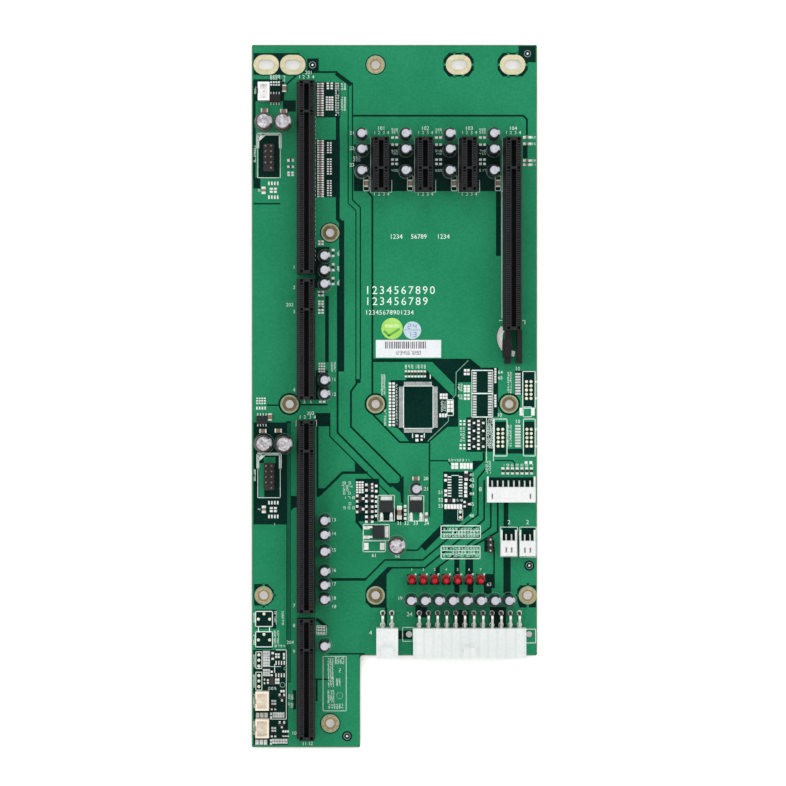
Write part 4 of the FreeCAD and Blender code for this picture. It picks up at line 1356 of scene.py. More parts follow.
@dataclass
class Connectors:
    """Finishes of the headers, wafers and chips, and the solder joints under their pins."""

    joint_r: float = 0.85
    joint_drop: float = 1.0
    joint_sides: int = 8
    tail_reach: float = 0.9
    finishes: tuple = (
        (CELL_NYLON, "main_power_header"),
        (AUX_NYLON, "auxiliary_power_header"),
        (WHITE_NYLON, "panel_wafer_housing", "two_way_wafer_left_housing", "two_way_wafer_right_housing"),
        (WAFER_WHITE_PAINTED_LIGHT, "upright_panel_wafer_housing"),
        (CREAM_NYLON, "fan_wafer_upper_housing", "fan_wafer_lower_housing"),
        (HEADER_BLACK, "upper_switch_header_base", "lower_switch_header_base", "jumper_header_base"),
        (CHIP_BLACK, "driver_chip_bodies", "transistor_bodies"),
        (PAD_TIN, "driver_chip_leads", "transistor_tabs_and_leads"),
        (CERAMIC, "chip_capacitors"),
    )

    def build(self) -> None:
        """Dress the nodes and solder their pins."""
        for look, *names in self.finishes:
            for name in names:
                dress(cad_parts[name], look)
        spots = []
        for name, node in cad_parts.items():
            if name.endswith("_pins"):
                dress(node, POWER_TIN if "power" in name else PIN_DULL if "switch" in name else TIN)
            if name.endswith("_pins") or name == "indicator_lamp_leads":
                spots += self.tails(node)
        for node, places in CAN_PLACES:
            half = (LARGE_CAN if node.startswith("large") else SMALL_CAN).lead_spread / 2
            spots += [(x + side * half, y) for x, y in places for side in (-1, 1)]
        joint = solder_joint(self.joint_r, self.joint_drop, self.joint_sides)
        joints = copy_out(joint, places_at(spots, BOARD_LOW - BOARD_HIGH), "solder_joints")
        hand_over(joints, TIN)

    def tails(self, node: Piece) -> list[Place]:
        """Find where a node's leads come out under the board.

        Args:
            node: Node with one or more leads.

        Returns:
            The middle of each lead's lowest end.
        """
        groups = []
        for vertex in node.data.vertices:
            at = (node.matrix_world @ vertex.co) / MM
            if at.z > BOARD_LOW - 0.1:
                continue
            near = [group for group in groups if (group[0].xy - at.xy).length < self.tail_reach]
            if near:
                near[0].append(at)
            else:
                groups.append([at])
        middles = [sum(group, Vector((0, 0, 0))) / len(group) for group in groups]
        return [(middle.x, middle.y) for middle in middles]


# Surface parts


@dataclass(frozen=True)
class PadGrid:
    """Columns and rows of equal pads about a centre."""

    x: float
    y: float
    width: float
    height: float
    columns: int = 1
    pitch_x: float = 1.0
    rows: int = 1
    pitch_y: float = 1.0

    def cells(self) -> list[Place]:
        """Return the middle of each pad."""
        across = [self.x + (i - (self.columns - 1) / 2) * self.pitch_x for i in range(self.columns)]
        along = [self.y + (j - (self.rows - 1) / 2) * self.pitch_y for j in range(self.rows)]
        return [(x, y) for x in across for y in along]

    def places(self) -> list[Matrix]:
        """Return where each pad goes, with its size."""
        return [place_at(x, y, 0, 0, (self.width, self.height, 1)) for x, y in self.cells()]


def grids(*rows: tuple) -> list[PadGrid]:
    """Make a grid of every row: x, y, width, height, then columns and pitch, then rows and pitch."""
    return [PadGrid(*row) for row in rows]


CARD_X = tuple(-6.1 + 20.32 * i for i in range(4))

PADS = grids(
    # Driver chips and the parts round them
    (-55.2, 144.6, 0.85, 0.8, 4, 1.2, 2, 1.2), (-61.7, -2.2, 0.85, 0.65, 4, 1.2, 3, 1.15),
    (-61.7, -5.6, 0.7, 1.4, 4, 1.27),
    # Beside the host slots
    (-34.25, 137.2, 1, 0.72, 2, 2.1, 14, 1.12), (-29.9, 143.5, 1.1, 0.75, 2, 1.8, 3, 1.15),
    (-30, 135.4, 0.95, 0.75, 3, 1.25, 6, 1.12), (-34.2, 105.2, 1, 0.72, 2, 2.1, 25, 1.07),
    (-30.1, 114.9, 0.85, 0.6, 2, 1.3, 5, 1.12),
    *((-30.1, y, 0.85, 0.6, 2, 1.3, 7, 1.12) for y in (106.2, 96.2)), (-34, 70.9, 1.1, 0.9, 2, 1.5, 2, 1.3),
    *((-28.4, y, 1.3, 1.1, 1, 1, 2, 2.6) for y in (66.2, 59.6, 53.2)), (-34, 47.4, 1.2, 1, 2, 1.6, 2, 1.5),
    (-34, 42.6, 1.1, 0.8, 2, 1.5, 3, 1.2), (-34, 39.2, 1.1, 0.9, 2, 1.5, 2, 1.3),
    (-33.6, 13.2, 0.85, 0.8, 3, 1.1, 4, 1.2), (-33.4, -2.6, 1.3, 0.9, 2, 1.7),
    (-33.8, -108.3, 1, 0.9, 3, 1.3, 3, 1.3), (-48, 109.1, 1.2, 1.3, 2, 1.9), (-48, 106.1, 1.2, 1.1, 2, 1.9),
    (-48, 102.8, 1.2, 0.9, 2, 1.8, 2, 1.2),
    # Filter arrays under the switch headers
    *((-56, y, 0.75, 1.6, 4, 1.35) for y in (98.4, 92)), (-56, 95.2, 1.4, 1, 2, 1.9, 2, 1.4),
    (-60.5, 95.2, 1.9, 1.2, 1, 1, 2, 2.2), *((-56, y, 0.75, 1.6, 4, 1.35) for y in (-49.3, -55.7)),
    (-56, -52.5, 1.4, 1, 2, 1.9, 2, 1.4), (-60.4, -52.4, 1.9, 1.2, 1, 1, 2, 2.2),
    # Square footprint and the parts round it
    *((9.7, y, 1.1, 0.95, 7, 1.45) for y in (11.4, 9.2)), (-1.2, -3.8, 1.2, 1, 2, 1.7, 14, 1.48),
    (22.8, -0.1, 1.05, 1.2, 3, 1.25, 2, 1.4), (22.5, -8.9, 1, 1.7, 3, 1.25),
    (10.4, -19.4, 1.4, 1.2, 1, 1, 2, 2), (12.6, -19.4, 1, 0.9, 1, 1, 2, 1.6),
    (25.85, -4.75, 1.15, 1.6, 2, 1.35, 3, 1.85),
    # Dotted arrays
    (33.5, 11.1, 1.2, 1.1, 2, 1.5, 2, 1.7), (33.5, 3.4, 1.3, 1, 2, 1.6, 3, 1.2),
    (33.5, -0.4, 1.2, 1.1, 2, 1.6, 2, 1.6), (46.7, 9.5, 0.95, 0.95, 1, 1, 6, 1.2),
    (46.7, -2.2, 0.95, 0.95, 1, 1, 5, 1.2), *((x, -17.9, 1.25, 1.05, 1, 1, 8, 1.82) for x in (34.6, 38.9)),
    *((x, -17.9, 1.1, 1, 1, 1, 4, 3.64) for x in (36.8, 41.1)),
    *((31.5, y, 1, 0.9, 2, 1.7, 2, 1.5) for y in (-12.3, -23.4)), (65.5, 2.8, 0.6, 0.8, 1, 1, 2, 7.8),
    (65.5, -19.3, 0.6, 0.8, 1, 1, 2, 8),
    # Beside the lamps
    (25.65, -82.5, 0.8, 0.9, 7, 5.3), (61.4, -7.2, 1.4, 3.6, 2, 5.6),
    # Panel wafer filters
    *((56.8, y, 1.4, 1.1, 7, 2.2) for y in (-33.5, -35.7)), (62, -30.8, 1.3, 1.4, 2, 2.2),
    # Sixteen-lead footprint and the parts round it
    (28.05, -41.8, 1.7, 0.6, 2, 5.1, 8, 1.27), (23.7, -37.8, 1.3, 1.2, 1, 1, 2, 2.2),
    (33.2, -36.9, 1.6, 1.3, 1, 1, 2, 3.2), (33, -43.4, 1.4, 1.4, 1, 1, 4, 1.8),
    (23.7, -44.8, 1.3, 1.3, 1, 1, 2, 1.9), (25.7, -48.3, 1.2, 1.5, 2, 3.6), (27.2, -51.1, 1.2, 2.2, 6, 1.4),
    (32.5, -50, 1.1, 1, 1, 1, 2, 2), (34.5, -50, 1.1, 1), (27.9, -32.3, 1.5, 1.3, 2, 1.7, 2, 1.5),
    (33.25, -32.3, 1.3, 2.7, 4, 1.5),
    # Regulator parts
    (-16, -42.2, 1, 0.85, 3, 1.25, 5, 1.15), (-17.2, -47.4, 1.2, 1.2, 1, 1, 2, 2.5),
    (-14.5, -47.4, 1.2, 1.2), (-17.2, -52.3, 1.2, 1.2, 1, 1, 2, 2.5), (-14.5, -52.3, 1.2, 1.2),
    (-12.9, -42.3, 1.2, 1.2, 1, 1, 2, 2.5), (-10.3, -42.3, 1, 1, 1, 1, 3, 1.5),
    (-12.9, -47.4, 1.2, 1.2, 1, 1, 2, 2.5), (-10.3, -47.4, 1.2, 1.1, 1, 1, 2, 2.2),
    (-12.9, -52.3, 1.2, 1.2, 1, 1, 2, 2.5), (-10.3, -52.3, 1.2, 1.1, 1, 1, 2, 2.2),
    (-12.9, -57, 1.3, 1.2, 1, 1, 2, 2.3), (-10.3, -57, 1.2, 1.2, 1, 1, 2, 2.3),
    (-8.4, -42.8, 1.2, 1.2, 1, 1, 2, 2.4), (-8.5, -51, 1, 1.2, 1, 1, 5, 2.2),
    (-3.7, -56.1, 1.5, 3.2, 2, 4.4), (10, -56, 1.5, 3.2, 2, 4.6), (-12.9, -63.1, 3, 1.5, 1, 1, 2, 4.4),
    (2.3, -53.9, 2.2, 2, 1, 1, 2, 4.4), (5, -53.8, 1.2, 1.2, 1, 1, 4, 1.9),
    (14.8, -55.9, 1.3, 1.4, 1, 1, 2, 2.8), *((x, -69.5, 2.1, 3.2) for x in (-13, -5.6)),
    # Card slot parts at the board's right edge
    (61.4, 118.2, 1.4, 1.2, 2, 2.4, 2, 3), (61.4, 108, 1.4, 1.1, 2, 2.4, 2, 1.9),
    # Right of each short card slot
    *((x + 6.2, y, 1.3, 1.1, 2, 1.9) for x in CARD_X[:3] for y in (119.6, 116.3, 109.4, 107.4)),
    # Fan control parts
    (-56.3, -120.2, 1.2, 1, 1, 1, 2, 2.6), (-54.1, -120.1, 0.95, 0.9, 2, 1.15, 2, 1.2),
    (-51.1, -120.3, 0.9, 1.3, 1, 1, 2, 1.6), (-52.85, -123.4, 0.55, 1.8, 4, 1.26),
    (-52.9, -129.1, 0.55, 1.8, 4, 1.27), (-56.75, -128.3, 1, 0.9, 1, 1, 2, 1.6),
    (-60.1, -132, 0.6, 0.9, 1, 1, 2, 1.7), (-58.5, -132, 0.9, 0.9, 1, 1, 2, 1.3),
    (-54.2, -131.9, 0.95, 1.1, 2, 1.1, 2, 1.4), (-51.75, -136.5, 0.95, 1.1, 2, 1.1),
    (-52.05, -138.3, 0.9, 1.3, 2, 2.1), (-52, -140.7, 0.9, 1.2), (-52.05, -151, 0.9, 1.3, 2, 2.05),
    (-52.05, -153, 0.9, 1.2), (-55.9, -144.9, 0.9, 0.7, 2, 1.6), (-55.9, -157.4, 0.9, 0.8, 2, 1.6),
    (-57.05, -147.8, 0.8, 1.1, 1, 1, 2, 1.6), (-57.1, -160, 0.8, 1, 1, 1, 2, 1.5),
    (-50.3, -155.1, 0.9, 1, 3, 1.1), (-50.3, -157.3, 0.9, 0.5, 3, 1.1),
)
# Footprints and blocks whose pads are duller
GREY_PADS = grids(
    (-59.2, -121.5, 1, 1.1, 3, 1.1, 6, 1.25), (-59.2, -127.9, 1, 1, 3, 1.1, 3, 1.15),
    (-61.3, -147.6, 1.6, 2.2, 3, 1.95), (-53.6, -147.5, 1, 1.15, 5, 1.12, 2, 1.3),
    (-61.6, -160.1, 1.6, 2.3, 3, 1.95), (-53, -159.7, 1.05, 1.05, 6, 1.2, 2, 1.25),
    *((-55.8, y, 1, 0.9, 2, 1.2, 2, 1.3) for y in (-141.7, -154.2)), (3.08, -5.1, 1.96, 0.3, 1, 1, 38, 0.5),
    (18.95, -5.1, 2.1, 0.3, 1, 1, 38, 0.5), (10.85, 5.75, 0.3, 1.7, 26, 0.5),
    (10.85, -16.1, 0.3, 1.6, 26, 0.5), *((x, 6.5, 1.8, 0.85, 1, 1, 8, 1.2) for x in (37.1, 44.2)),
    *((x, -4.4, 1.8, 0.85, 1, 1, 8, 1.2) for x in (37.1, 44.2)), (57.1, 5.7, 2.5, 0.95, 1, 1, 8, 1.3),
    (57.1, -18.5, 2.5, 0.95, 1, 1, 8, 1.33),
)

BLACK_PARTS = grids(
    *((-15.9, y, 1.5, 2.9) for y in (-47.4, -52.3)), *((-11.6, y, 1.5, 2.9) for y in (-42.3, -47.4, -52.3)),
    (-11.6, -57, 1.4, 2.6), (33.2, -36.8, 1.8, 2), (25.7, -48.3, 1.7, 1.5), (33.5, -50, 1, 1.4),
    (-56.65, -131.8, 2.1, 3.4), (-52.1, -139.4, 2.6, 1.4), (-52.1, -152.1, 2.5, 1.2),
    (-56.3, -120.2, 1, 1.2), *((-55.9, y, 0.8, 0.8, 2, 1.6) for y in (-143.7, -156.1)),
    *((x, -16.1, 1.6, 1, 1, 1, 4, 3.64) for x in (36, 40.2)), *((-34, y, 1.6, 0.8) for y in (47.4, 40.9)),
    (-48, 109.1, 0.9, 1.1), (-48, 106.1, 0.9, 0.9), (9.7, 10.3, 0.9, 1.4, 7, 1.45),
    *((-28.4, y, 1, 1.5) for y in (66.2, 59.6, 53.2)), (56.8, -34.6, 1.1, 1.2, 7, 2.2),
)
PALE_PARTS = grids(
    (-34.25, 137.2, 1.1, 0.6, 1, 1, 14, 1.12), (-34.2, 105.2, 1.1, 0.6, 1, 1, 25, 1.07),
)
BROWN_PARTS = grids(
    (61.4, 118.2, 1.2, 1, 1, 1, 2, 3), (61.4, 108, 1.2, 0.9, 1, 1, 2, 1.9), (14.8, -55.9, 1.1, 1.5),
    (2.3, -53.9, 1.8, 2.6), (-60.5, 95.2, 1.7, 1.1), (-60.4, -52.4, 1.7, 1.1),
)


@dataclass
class SurfaceParts:
    """Tinned pads, small surface-mount parts, and the metal ends of the block capacitors."""

    body_lift: float = 0.1
    body_height: float = 0.75
    end_length: float = 0.55
    end_margin: float = 0.04
    cap_half: tuple = (1.6, 0.9, 1.3)
    caps_across: tuple = ((-60.1, 132.1), (-51.2, 131.8), (-60.8, -16.1), (-53.7, -16.0), (9.9, -38.1))
    caps_along: tuple = ((-50.9, 142.3), (-57.5, -9.7), *((x - 6.9, 98.4) for x in CARD_X))
    hole_pads: tuple = (
        *((x, -15.35 - 1.95 * i) for x in (48.0, 50.1, 61.3, 63.3) for i in range(5)),
        *((x, 6.7 - 1.95 * i) for x in (61.1, 63.2) for i in range(5)),
        (-60.3, -100.7), (-62.9, -103.2), (-57.7, -103.2), (-60.3, -110.2), (-62.9, -112.8), (-57.7, -112.8),
        *((-62.7, y) for y in (-119.7, -122.2, -124.9, -129.3, -131.8, -134.4)), (30.5, -53.6), (30.5, -56.1),
    )
    tail_pads: tuple = (
        *((34.65 + 4.2 * (i - 5.5), y) for i in range(12) for y in (-100.3, -105.8)),
        *((-3.3 + 4.2 * (i - 0.5), y) for i in range(2) for y in (-100.3, -105.8)),
    )

    def build(self) -> None:
        """Make and dress every pad and small part."""
        pad, body = (0.0, PAD_HEIGHT), (self.body_lift, self.body_height)
        for rows, z, name, look, slot in (
            (PADS, pad, "tinned_pads", PAD_TIN, "tinned_metal"),
            (GREY_PADS, pad, "worn_pads", PAD_GREY, "tinned_metal"),
            (BLACK_PARTS, body, "small_black_parts", PART_BLACK, "chip_black"),
            (BROWN_PARTS, body, "small_brown_parts", CERAMIC, "brown_ceramic"),
            (PALE_PARTS, body, "small_pale_parts", PALE_PART, "brown_ceramic"),
        ):
            hand_over(self.lay(rows, z, name), look)
        self.add_capacitor_ends()
        self.add_hole_pads()

    def lay(self, rows: list[PadGrid], z: Span, name: str) -> Piece:
        """Lay one softened block on every place of the grids.

        Args:
            rows: Where the blocks go, with their sizes.
            z: Height of the underside and of the top.
            name: Name of the piece.

        Returns:
            All blocks as one piece.
        """
        block = add_block((-0.5, 0.5), (-0.5, 0.5), (z[0], z[1] - 0.05))
        pick(block, "FACE", faces_up)
        bpy.ops.mesh.extrude_region_move(TRANSFORM_OT_translate={"value": (0, 0, 0.05 * MM)})
        bpy.ops.transform.resize(value=(0.86, 0.86, 1))
        deselect_all()
        return copy_out(to_origin(block), [place for grid in rows for place in grid.places()], name)

    def add_capacitor_ends(self) -> None:
        """Add the metal ends of the block capacitors."""
        half_l, half_w, height = self.cap_half
        margin = self.end_margin
        ends = []
        for side in (-1, 1):
            x = sorted((side * (half_l + margin), side * (half_l - self.end_length)))
            ends.append(add_block(x, (-half_w - margin, half_w + margin), (0, height + margin)))
        model = join(ends, "end_model")
        apply_modifier(model, "BEVEL", width=0.12 * MM, segments=2)
        spots = places_at(self.caps_across) + places_at(self.caps_along, 0, 90)
        hand_over(copy_out(to_origin(model), spots, "block_capacitor_ends"), PAD_TIN)

    def add_hole_pads(self) -> None:
        """Add the tinned collars of empty holes, and those round the power pins."""
        collar = [(0, 0), (0.72, 0), (0.72, 0.08), (0.5, 0.3), (0.2, 0.36), (0, 0.36)]
        ring = [(0.76, 0), (0.76, 0.3), (1.1, 0.16), (1.22, 0.08), (1.22, 0), (0.76, 0)]
        for profile, steps, spots, name, look in (
            (collar, 14, self.hole_pads, "filled_hole_pads", HOLE_CREAM),
            (ring, 18, self.tail_pads, "power_pin_collars", PAD_TIN),
        ):
            model = add_lathe(profile, steps)
            smooth(model)
            hand_over(copy_out(model, places_at(spots), name), look)


# Print


@dataclass(frozen=True)
class InkLine:
    """A printed straight stroke."""

    x0: float
    y0: float
    x1: float
    y1: float
    weight: float = 0.3

    def places(self) -> list[Matrix]:
        """Return the stroke."""
        run, rise = self.x1 - self.x0, self.y1 - self.y0
        size = (math.hypot(run, rise), self.weight, 1)
        turn = math.degrees(math.atan2(rise, run))
        return [place_at((self.x0 + self.x1) / 2, (self.y0 + self.y1) / 2, 0, turn, size)]


@dataclass(frozen=True)
class InkFrame(InkLine):
    """A printed rectangle outline, by two opposite corners."""

    def places(self) -> list[Matrix]:
        """Return its four strokes."""
        x, y = (self.x0 + self.x1) / 2, (self.y0 + self.y1) / 2
        wide, tall = self.x1 - self.x0 + self.weight, self.y1 - self.y0 + self.weight
        flat = [place_at(x, side, 0, 0, (wide, self.weight, 1)) for side in (self.y0, self.y1)]
        return flat + [place_at(side, y, 0, 0, (self.weight, tall, 1)) for side in (self.x0, self.x1)]


@dataclass(frozen=True)
class Number:
    """A printed plain number."""

    value: int
    x: float
    y: float
    size: float = 1.9
    spacing: float = 1.0


def switch_box(low: float) -> list[InkLine]:
    """Return the print round a switch header whose outline starts at a given y."""
    left, right, high = -63.2, -52.8, low + 20.2
    return [
        InkFrame(left, low, right, high, 0.28),
        InkLine(left - 0.2, high, right + 0.2, high, 1.2),
        *(InkLine(x, high, x, high - 6.6, 1.2) for x in (left, right)),
        InkLine(left + 0.4, high - 2.6, left + 3.0, high - 0.2, 1.4),
    ]


FRAMES = [InkFrame(*row) for row in (
    (4.24, -14.97, 17.87, 4.68, 0.35), (24.4, -8.95, 27.25, -1.7, 0.35), (46.2, -27.7, 52.1, -10.6, 0.35),
    (59.7, -27.7, 65.1, -10.6, 0.35), (59.4, -5.6, 65.1, 11.4, 0.35), (59.6, -9.6, 63.4, -5, 0.3),
    (29.3, -57.3, 31.6, -52.6, 0.22), (-7.6, -57.8, 0, -45.9, 0.3), (6.4, -57.8, 13.6, -46, 0.3),
    (-14.4, -66.8, -2.4, -59.4, 0.3), (-14.5, -72, -4.2, -67, 0.3), (21.6, -65.8, 39.8, -60, 0.4),
    (21.6, -75.2, 39.6, -69.4, 0.4), (49, -74.3, 57, -60.6, 0.25), (58, -74.5, 65.6, -60.6, 0.25),
    (3.8, -113.4, 8.6, -107, 0.3), (60.4, -114.2, 65.4, -107.8, 0.3), (-64.2, -106.6, -56.4, -99.6, 0.4),
    (-64.2, -116, -56.4, -109, 0.4), (-64.1, -126, -61.3, -118.3, 0.3), (-64.1, -136, -61.3, -127.7, 0.3),
    (-33, -145.6, -22.3, -120.4, 0.22), (-36, -110.4, -31.4, -106.2, 0.25),
    *((x - 8.2, 95, x - 5.6, 101.8, 0.25) for x in CARD_X),
)]
LINES = [InkLine(*row) for row in (
    (35.9, 11.9, 45.4, 11.9, 0.5), (35.9, 1.2, 45.4, 1.2, 0.6), (35.9, -9.67, 45.4, -9.67, 0.5),
    (35.8, 11.9, 35.8, -9.67, 0.25), (45.5, 11.9, 45.5, -9.67, 0.25), (42.6, -10, 42.6, -30, 0.25),
    (45.8, -10, 45.8, -30, 0.25), (49.7, 36, 49.7, 95, 0.25), (26.4, -36.7, 29.9, -36.7, 0.3),
    (-45.5, -11.2, -36, -11.2, 0.2), *((x, -11.2, x, -14, 0.2) for x in (-45.5, -36)), (48.4, 35, 50, 35),
    (59.2, 35, 60.5, 35), (60.4, 35, 60.4, 33.2),
    *((21.6, y, 39.7, y, 0.25) for y in (-62.3, -63.75, -71.4, -73)), (-62.9, -106.6, -62.9, -108.8, 0.4),
    (-57.8, -106.6, -57.8, -108.8, 0.4), (-50, -117.4, -50, -149.4, 0.3), (-54.8, -117.4, -50, -117.4, 0.3),
    (-57.6, -149.4, -50, -149.4, 0.3), (-55.4, -124, -55.4, -127.9, 0.35),
    (-57.6, -125.1, -52.4, -125.1, 0.2), (16.6, 8, 16.6, 10, 0.4), (8.4, -17.2, 8.4, -19.4, 0.4),
    (13.8, -17.2, 13.8, -19.4, 0.4), *((x - 4.9, 94.4, x - 4.9, 119.6, 0.2) for x in CARD_X),
    *((x - 4.9, 94.3, x + 4.9, 94.3, 0.2) for x in CARD_X[:3]),
    *((x + 4.9, 94.3, x + 4.9, 100, 0.2) for x in CARD_X[:3]),
)]
STROKES = [*switch_box(101), *switch_box(-47), *FRAMES, *LINES]
TRACES = [InkLine(*row) for row in (
    (34.2, 16.5, 28.7, 11.1, 0.35), (28.6, 11.2, 28.4, 0.7, 0.35), (28.4, 0.8, 26.8, -1.3, 0.35),
    (25, -9.4, 25, -11.7, 0.35), (25, -11.6, 15.4, -20.9, 0.35),
)]
MARKS = grids(
    (29.8, -29.6, 0.95, 0.75, 8, 1.25), (30.2, -48.2, 0.8, 0.8, 3, 1), (22.6, -4.7, 1, 0.8, 2, 1.2, 4, 1.3),
    (-55.2, 147.5, 0.95, 0.75, 4, 1.2, 2, 1.05), (-51.2, 146.8, 1.4, 0.9, 1, 1, 2, 1.4),
    (-26.5, 137.3, 0.85, 0.5, 2, 1.1, 14, 1.12), (-23.6, 143.2, 0.95, 0.6, 2, 1.3, 3, 1.1),
    (-23.6, 135.2, 0.95, 0.6, 2, 1.3, 6, 1.1),
    *((-26, y, 1, 0.6, 1, 1, 3, 0.9) for y in (66.2, 58.8, 52.6)), (-28.3, 13.4, 0.95, 0.7, 2, 1.3, 4, 1.2),
    (-5.2, 5.2, 0.85, 0.7, 2, 1.1, 9, 1.1), (-4.3, -10, 1, 0.7, 1, 1, 6, 1.25),
    (1, -4, 0.7, 0.7, 1, 1, 13, 1.5), (9.7, 13.6, 0.9, 0.6, 7, 1.45, 2, 0.95),
    (30.4, 4, 0.9, 0.7, 2, 1.2, 3, 1.2), (30.4, -0.4, 0.9, 0.7, 2, 1.2, 2, 1.2),
    (31.4, -17.8, 0.9, 0.7, 2, 1.2, 5, 1.4), (53.2, 6.2, 0.8, 0.6, 2, 1.1, 9, 1.12),
    (53.2, -18.4, 0.8, 0.6, 2, 1.1, 9, 1.15), (56.8, -31.9, 1.5, 0.8, 7, 2.2),
    (43.4, -33, 1.1, 0.9, 2, 1.4, 4, 1.6), (44.3, -17.2, 0.9, 0.8, 3, 1, 12, 1.15),
    (30.7, -61.6, 1, 0.8, 12, 1.4), (32.6, -63, 1, 0.7, 9, 1.4), (30.7, -64.5, 1.1, 0.8, 12, 1.4),
    (30.7, -70.6, 1, 0.8, 12, 1.4), (32.6, -72.2, 1, 0.8, 9, 1.4), (30.7, -73.8, 1.1, 0.8, 12, 1.4),
    (-22, -40.2, 1.6, 1, 2, 2.4), (-22, -41.9, 1.4, 0.9, 3, 1.9), (-22.6, -43.4, 1.1, 0.9, 2, 1.6),
    (-22, -44.9, 1.3, 0.9, 2, 2.4), (-21, -47, 1.3, 0.9, 3, 2.1), (-20.6, -49.8, 1.4, 0.9),
    (-21, -51.7, 1.3, 0.9, 3, 2.1), (-29.6, -126, 0.6, 0.8, 3, 0.95, 8, 1.2),
    (-25.4, -122.3, 0.8, 0.7, 4, 1.15, 3, 1.1), (-29.4, -132.3, 0.7, 0.8, 3, 1, 4, 1.2),
    (-26, -132.4, 0.8, 0.8, 2, 1.1, 3, 1.2), (-29.4, -139, 0.75, 0.85, 3, 1.1, 5, 1.2),
    (-27.2, -143.5, 0.8, 0.8, 6, 1.2, 2, 1.2), (-56.5, -135.2, 1, 0.9, 3, 1.4),
    *((-48, y, 1.1, 0.8, 2, 1.4, 2, 1.2) for y in (-139.2, -143)),
    *((-64.9, y, 0.8, 0.8, 1, 1, 4, 1.2) for y in (-102.6, -112.6)),
    *((-65, y, 0.7, 0.8, 1, 1, 5, 1.2) for y in (-122.6, -131.8)),
    *((-65, y, 0.7, 0.9, 1, 1, 5, 1.3) for y in (-141, -153.6)), (-55, -102.6, 1, 0.9, 1, 1, 5, 1.3),
    (-51.7, -102.6, 1.1, 0.7, 1, 1, 6, 1.1), (-54.6, -111.4, 1, 0.8, 2, 1.4, 5, 1.2),
    (-53, -115.6, 0.9, 0.8, 4, 1.3), (-64.6, 112, 0.9, 0.7, 1, 1, 7, 1.1),
    (-64.6, -36.6, 0.9, 0.7, 1, 1, 5, 1.1), (-64.4, 141.6, 0.9, 0.8, 1, 1, 3, 1.2),
    (64.3, 118.2, 0.9, 0.8, 2, 1.2, 2, 3), (64.3, 108, 0.9, 0.8, 2, 1.2, 2, 1.9),
    (-36.7, 96, 0.4, 0.7, 1, 1, 34, 2), (-17.4, 109.8, 0.8, 0.8, 3, 1.2, 2, 1.3),
    *((-62.6, y, 1.2, 0.9) for y in (95.1, -52.4)), (-56.2, -59.2, 2.2, 0.8), (-25.2, -126.9, 0.9, 1.3),
    *((x + 6.2, 122.6, 0.85, 0.8, 3, 1.1, 2, 1.3) for x in CARD_X[:3]),
    *((x + 6.2, 112.8, 0.8, 0.7, 3, 1.1, 2, 1.3) for x in CARD_X[:3]),
    *((x + 6.2, 104.4, 0.85, 0.8, 3, 1.1) for x in CARD_X[:3]),
)
SEGMENTS = {
    "a": (0, 0.5, True), "b": (0.5, 0.25, False), "c": (0.5, -0.25, False), "d": (0, -0.5, True),
    "e": (-0.5, -0.25, False), "f": (-0.5, 0.25, False), "g": (0, 0, True),
}
DIGITS = ("abcdef", "bc", "abged", "abgcd", "fgbc", "afgcd", "afgedc", "abc", "abcdefg", "abcdfg")
NUMBERS = [Number(*row) for row in (
    *((11 + i, -28.1, y) for i, y in enumerate((7.6, 0.8, -57.3, -63.7, -71.3, -80.6, -87, -93.5))),
    *((1 + i, 8.05 + 5.3 * i, -80.3, 1.4) for i in range(7)),
    *((21 + i, -19.6, y) for i, y in enumerate((121.7, 114.6, 106.9))),
    *((text, x + dx, 93.4) for x in CARD_X[:3] for text, dx in ((1, -3.2), (2, -1), (3, 1.2), (4, 3.2))),
    *((text, x + dx, 121.8, 1.8) for x in CARD_X for text, dx in ((1, -3), (2, -1), (3, 1.2), (4, 3.2))),
    *((101 + i, x, 123.8, 2.1) for i, x in enumerate(CARD_X)),
    *((text, x, 147.6) for text, x in ((1, -43.9), (2, -42), (3, -39.7), (4, -37.6))),
    *((text, x, -9.8) for text, x in ((1, -43.6), (2, -41.4), (3, -38.9), (4, -36.9))),
    (201, -39.6, 149.6), (202, -48.4, 42.2), (203, -38.8, -8), (204, -48.2, -114), (1, -46.4, 59.6),
    (2, -46.4, 50.2), (3, -46.4, 39), (4, -46.4, 2.8), (5, -41.6, -2.6), (6, -38.6, -2.6), (7, -46.4, -97),
    (8, -46.4, -106.2), (9, -46.4, -118.2), (10, -46.4, -156), (11, -41.6, -160.8), (12, -38.8, -160.8),
    (24, 7, -101, 2.3), (4, -11, -109.6, 2.3), (8, 39.8, -43.2, 2.3), (2, 53, -58.4, 2.3),
    (2, 61.6, -58.4, 2.3), (10, 57, 12.6, 2), (10, 57, -11.8, 2), (10, 48.6, -8.8, 2), (18, -28, -97.4),
    (19, 2.6, -93.6), (20, 14.6, -38.2), (21, 14.8, -43),
    *((31 + i, x, -58.9) for i, x in enumerate((2.3, 5.6, 9.8, 14.9))),
    *((41 + i, 35.8, y) for i, y in enumerate((-36.5, -38.9, -41.6, -45.2, -50, -55.4))),
    *((51 + i, 21.4, y) for i, y in enumerate((-44.6, -48.1, -50.9))), (61, -9.4, -73.8), (62, 1.4, -74),
    (63, 43.8, -87.2), (64, 49, 11), (65, 49, 8.4), (1234567890, 2.6, 48.8, 4.4, 1.26),
    (123456789, 1, 43.7, 4.4, 1.26), (12345678901234, -2.3, 38.6, 2.5, 1.08), (1234, 0.8, 73.7, 2.5),
    (56789, 11.3, 73.7, 2.5), (1234, 22.6, 73.7, 2.5),
)]


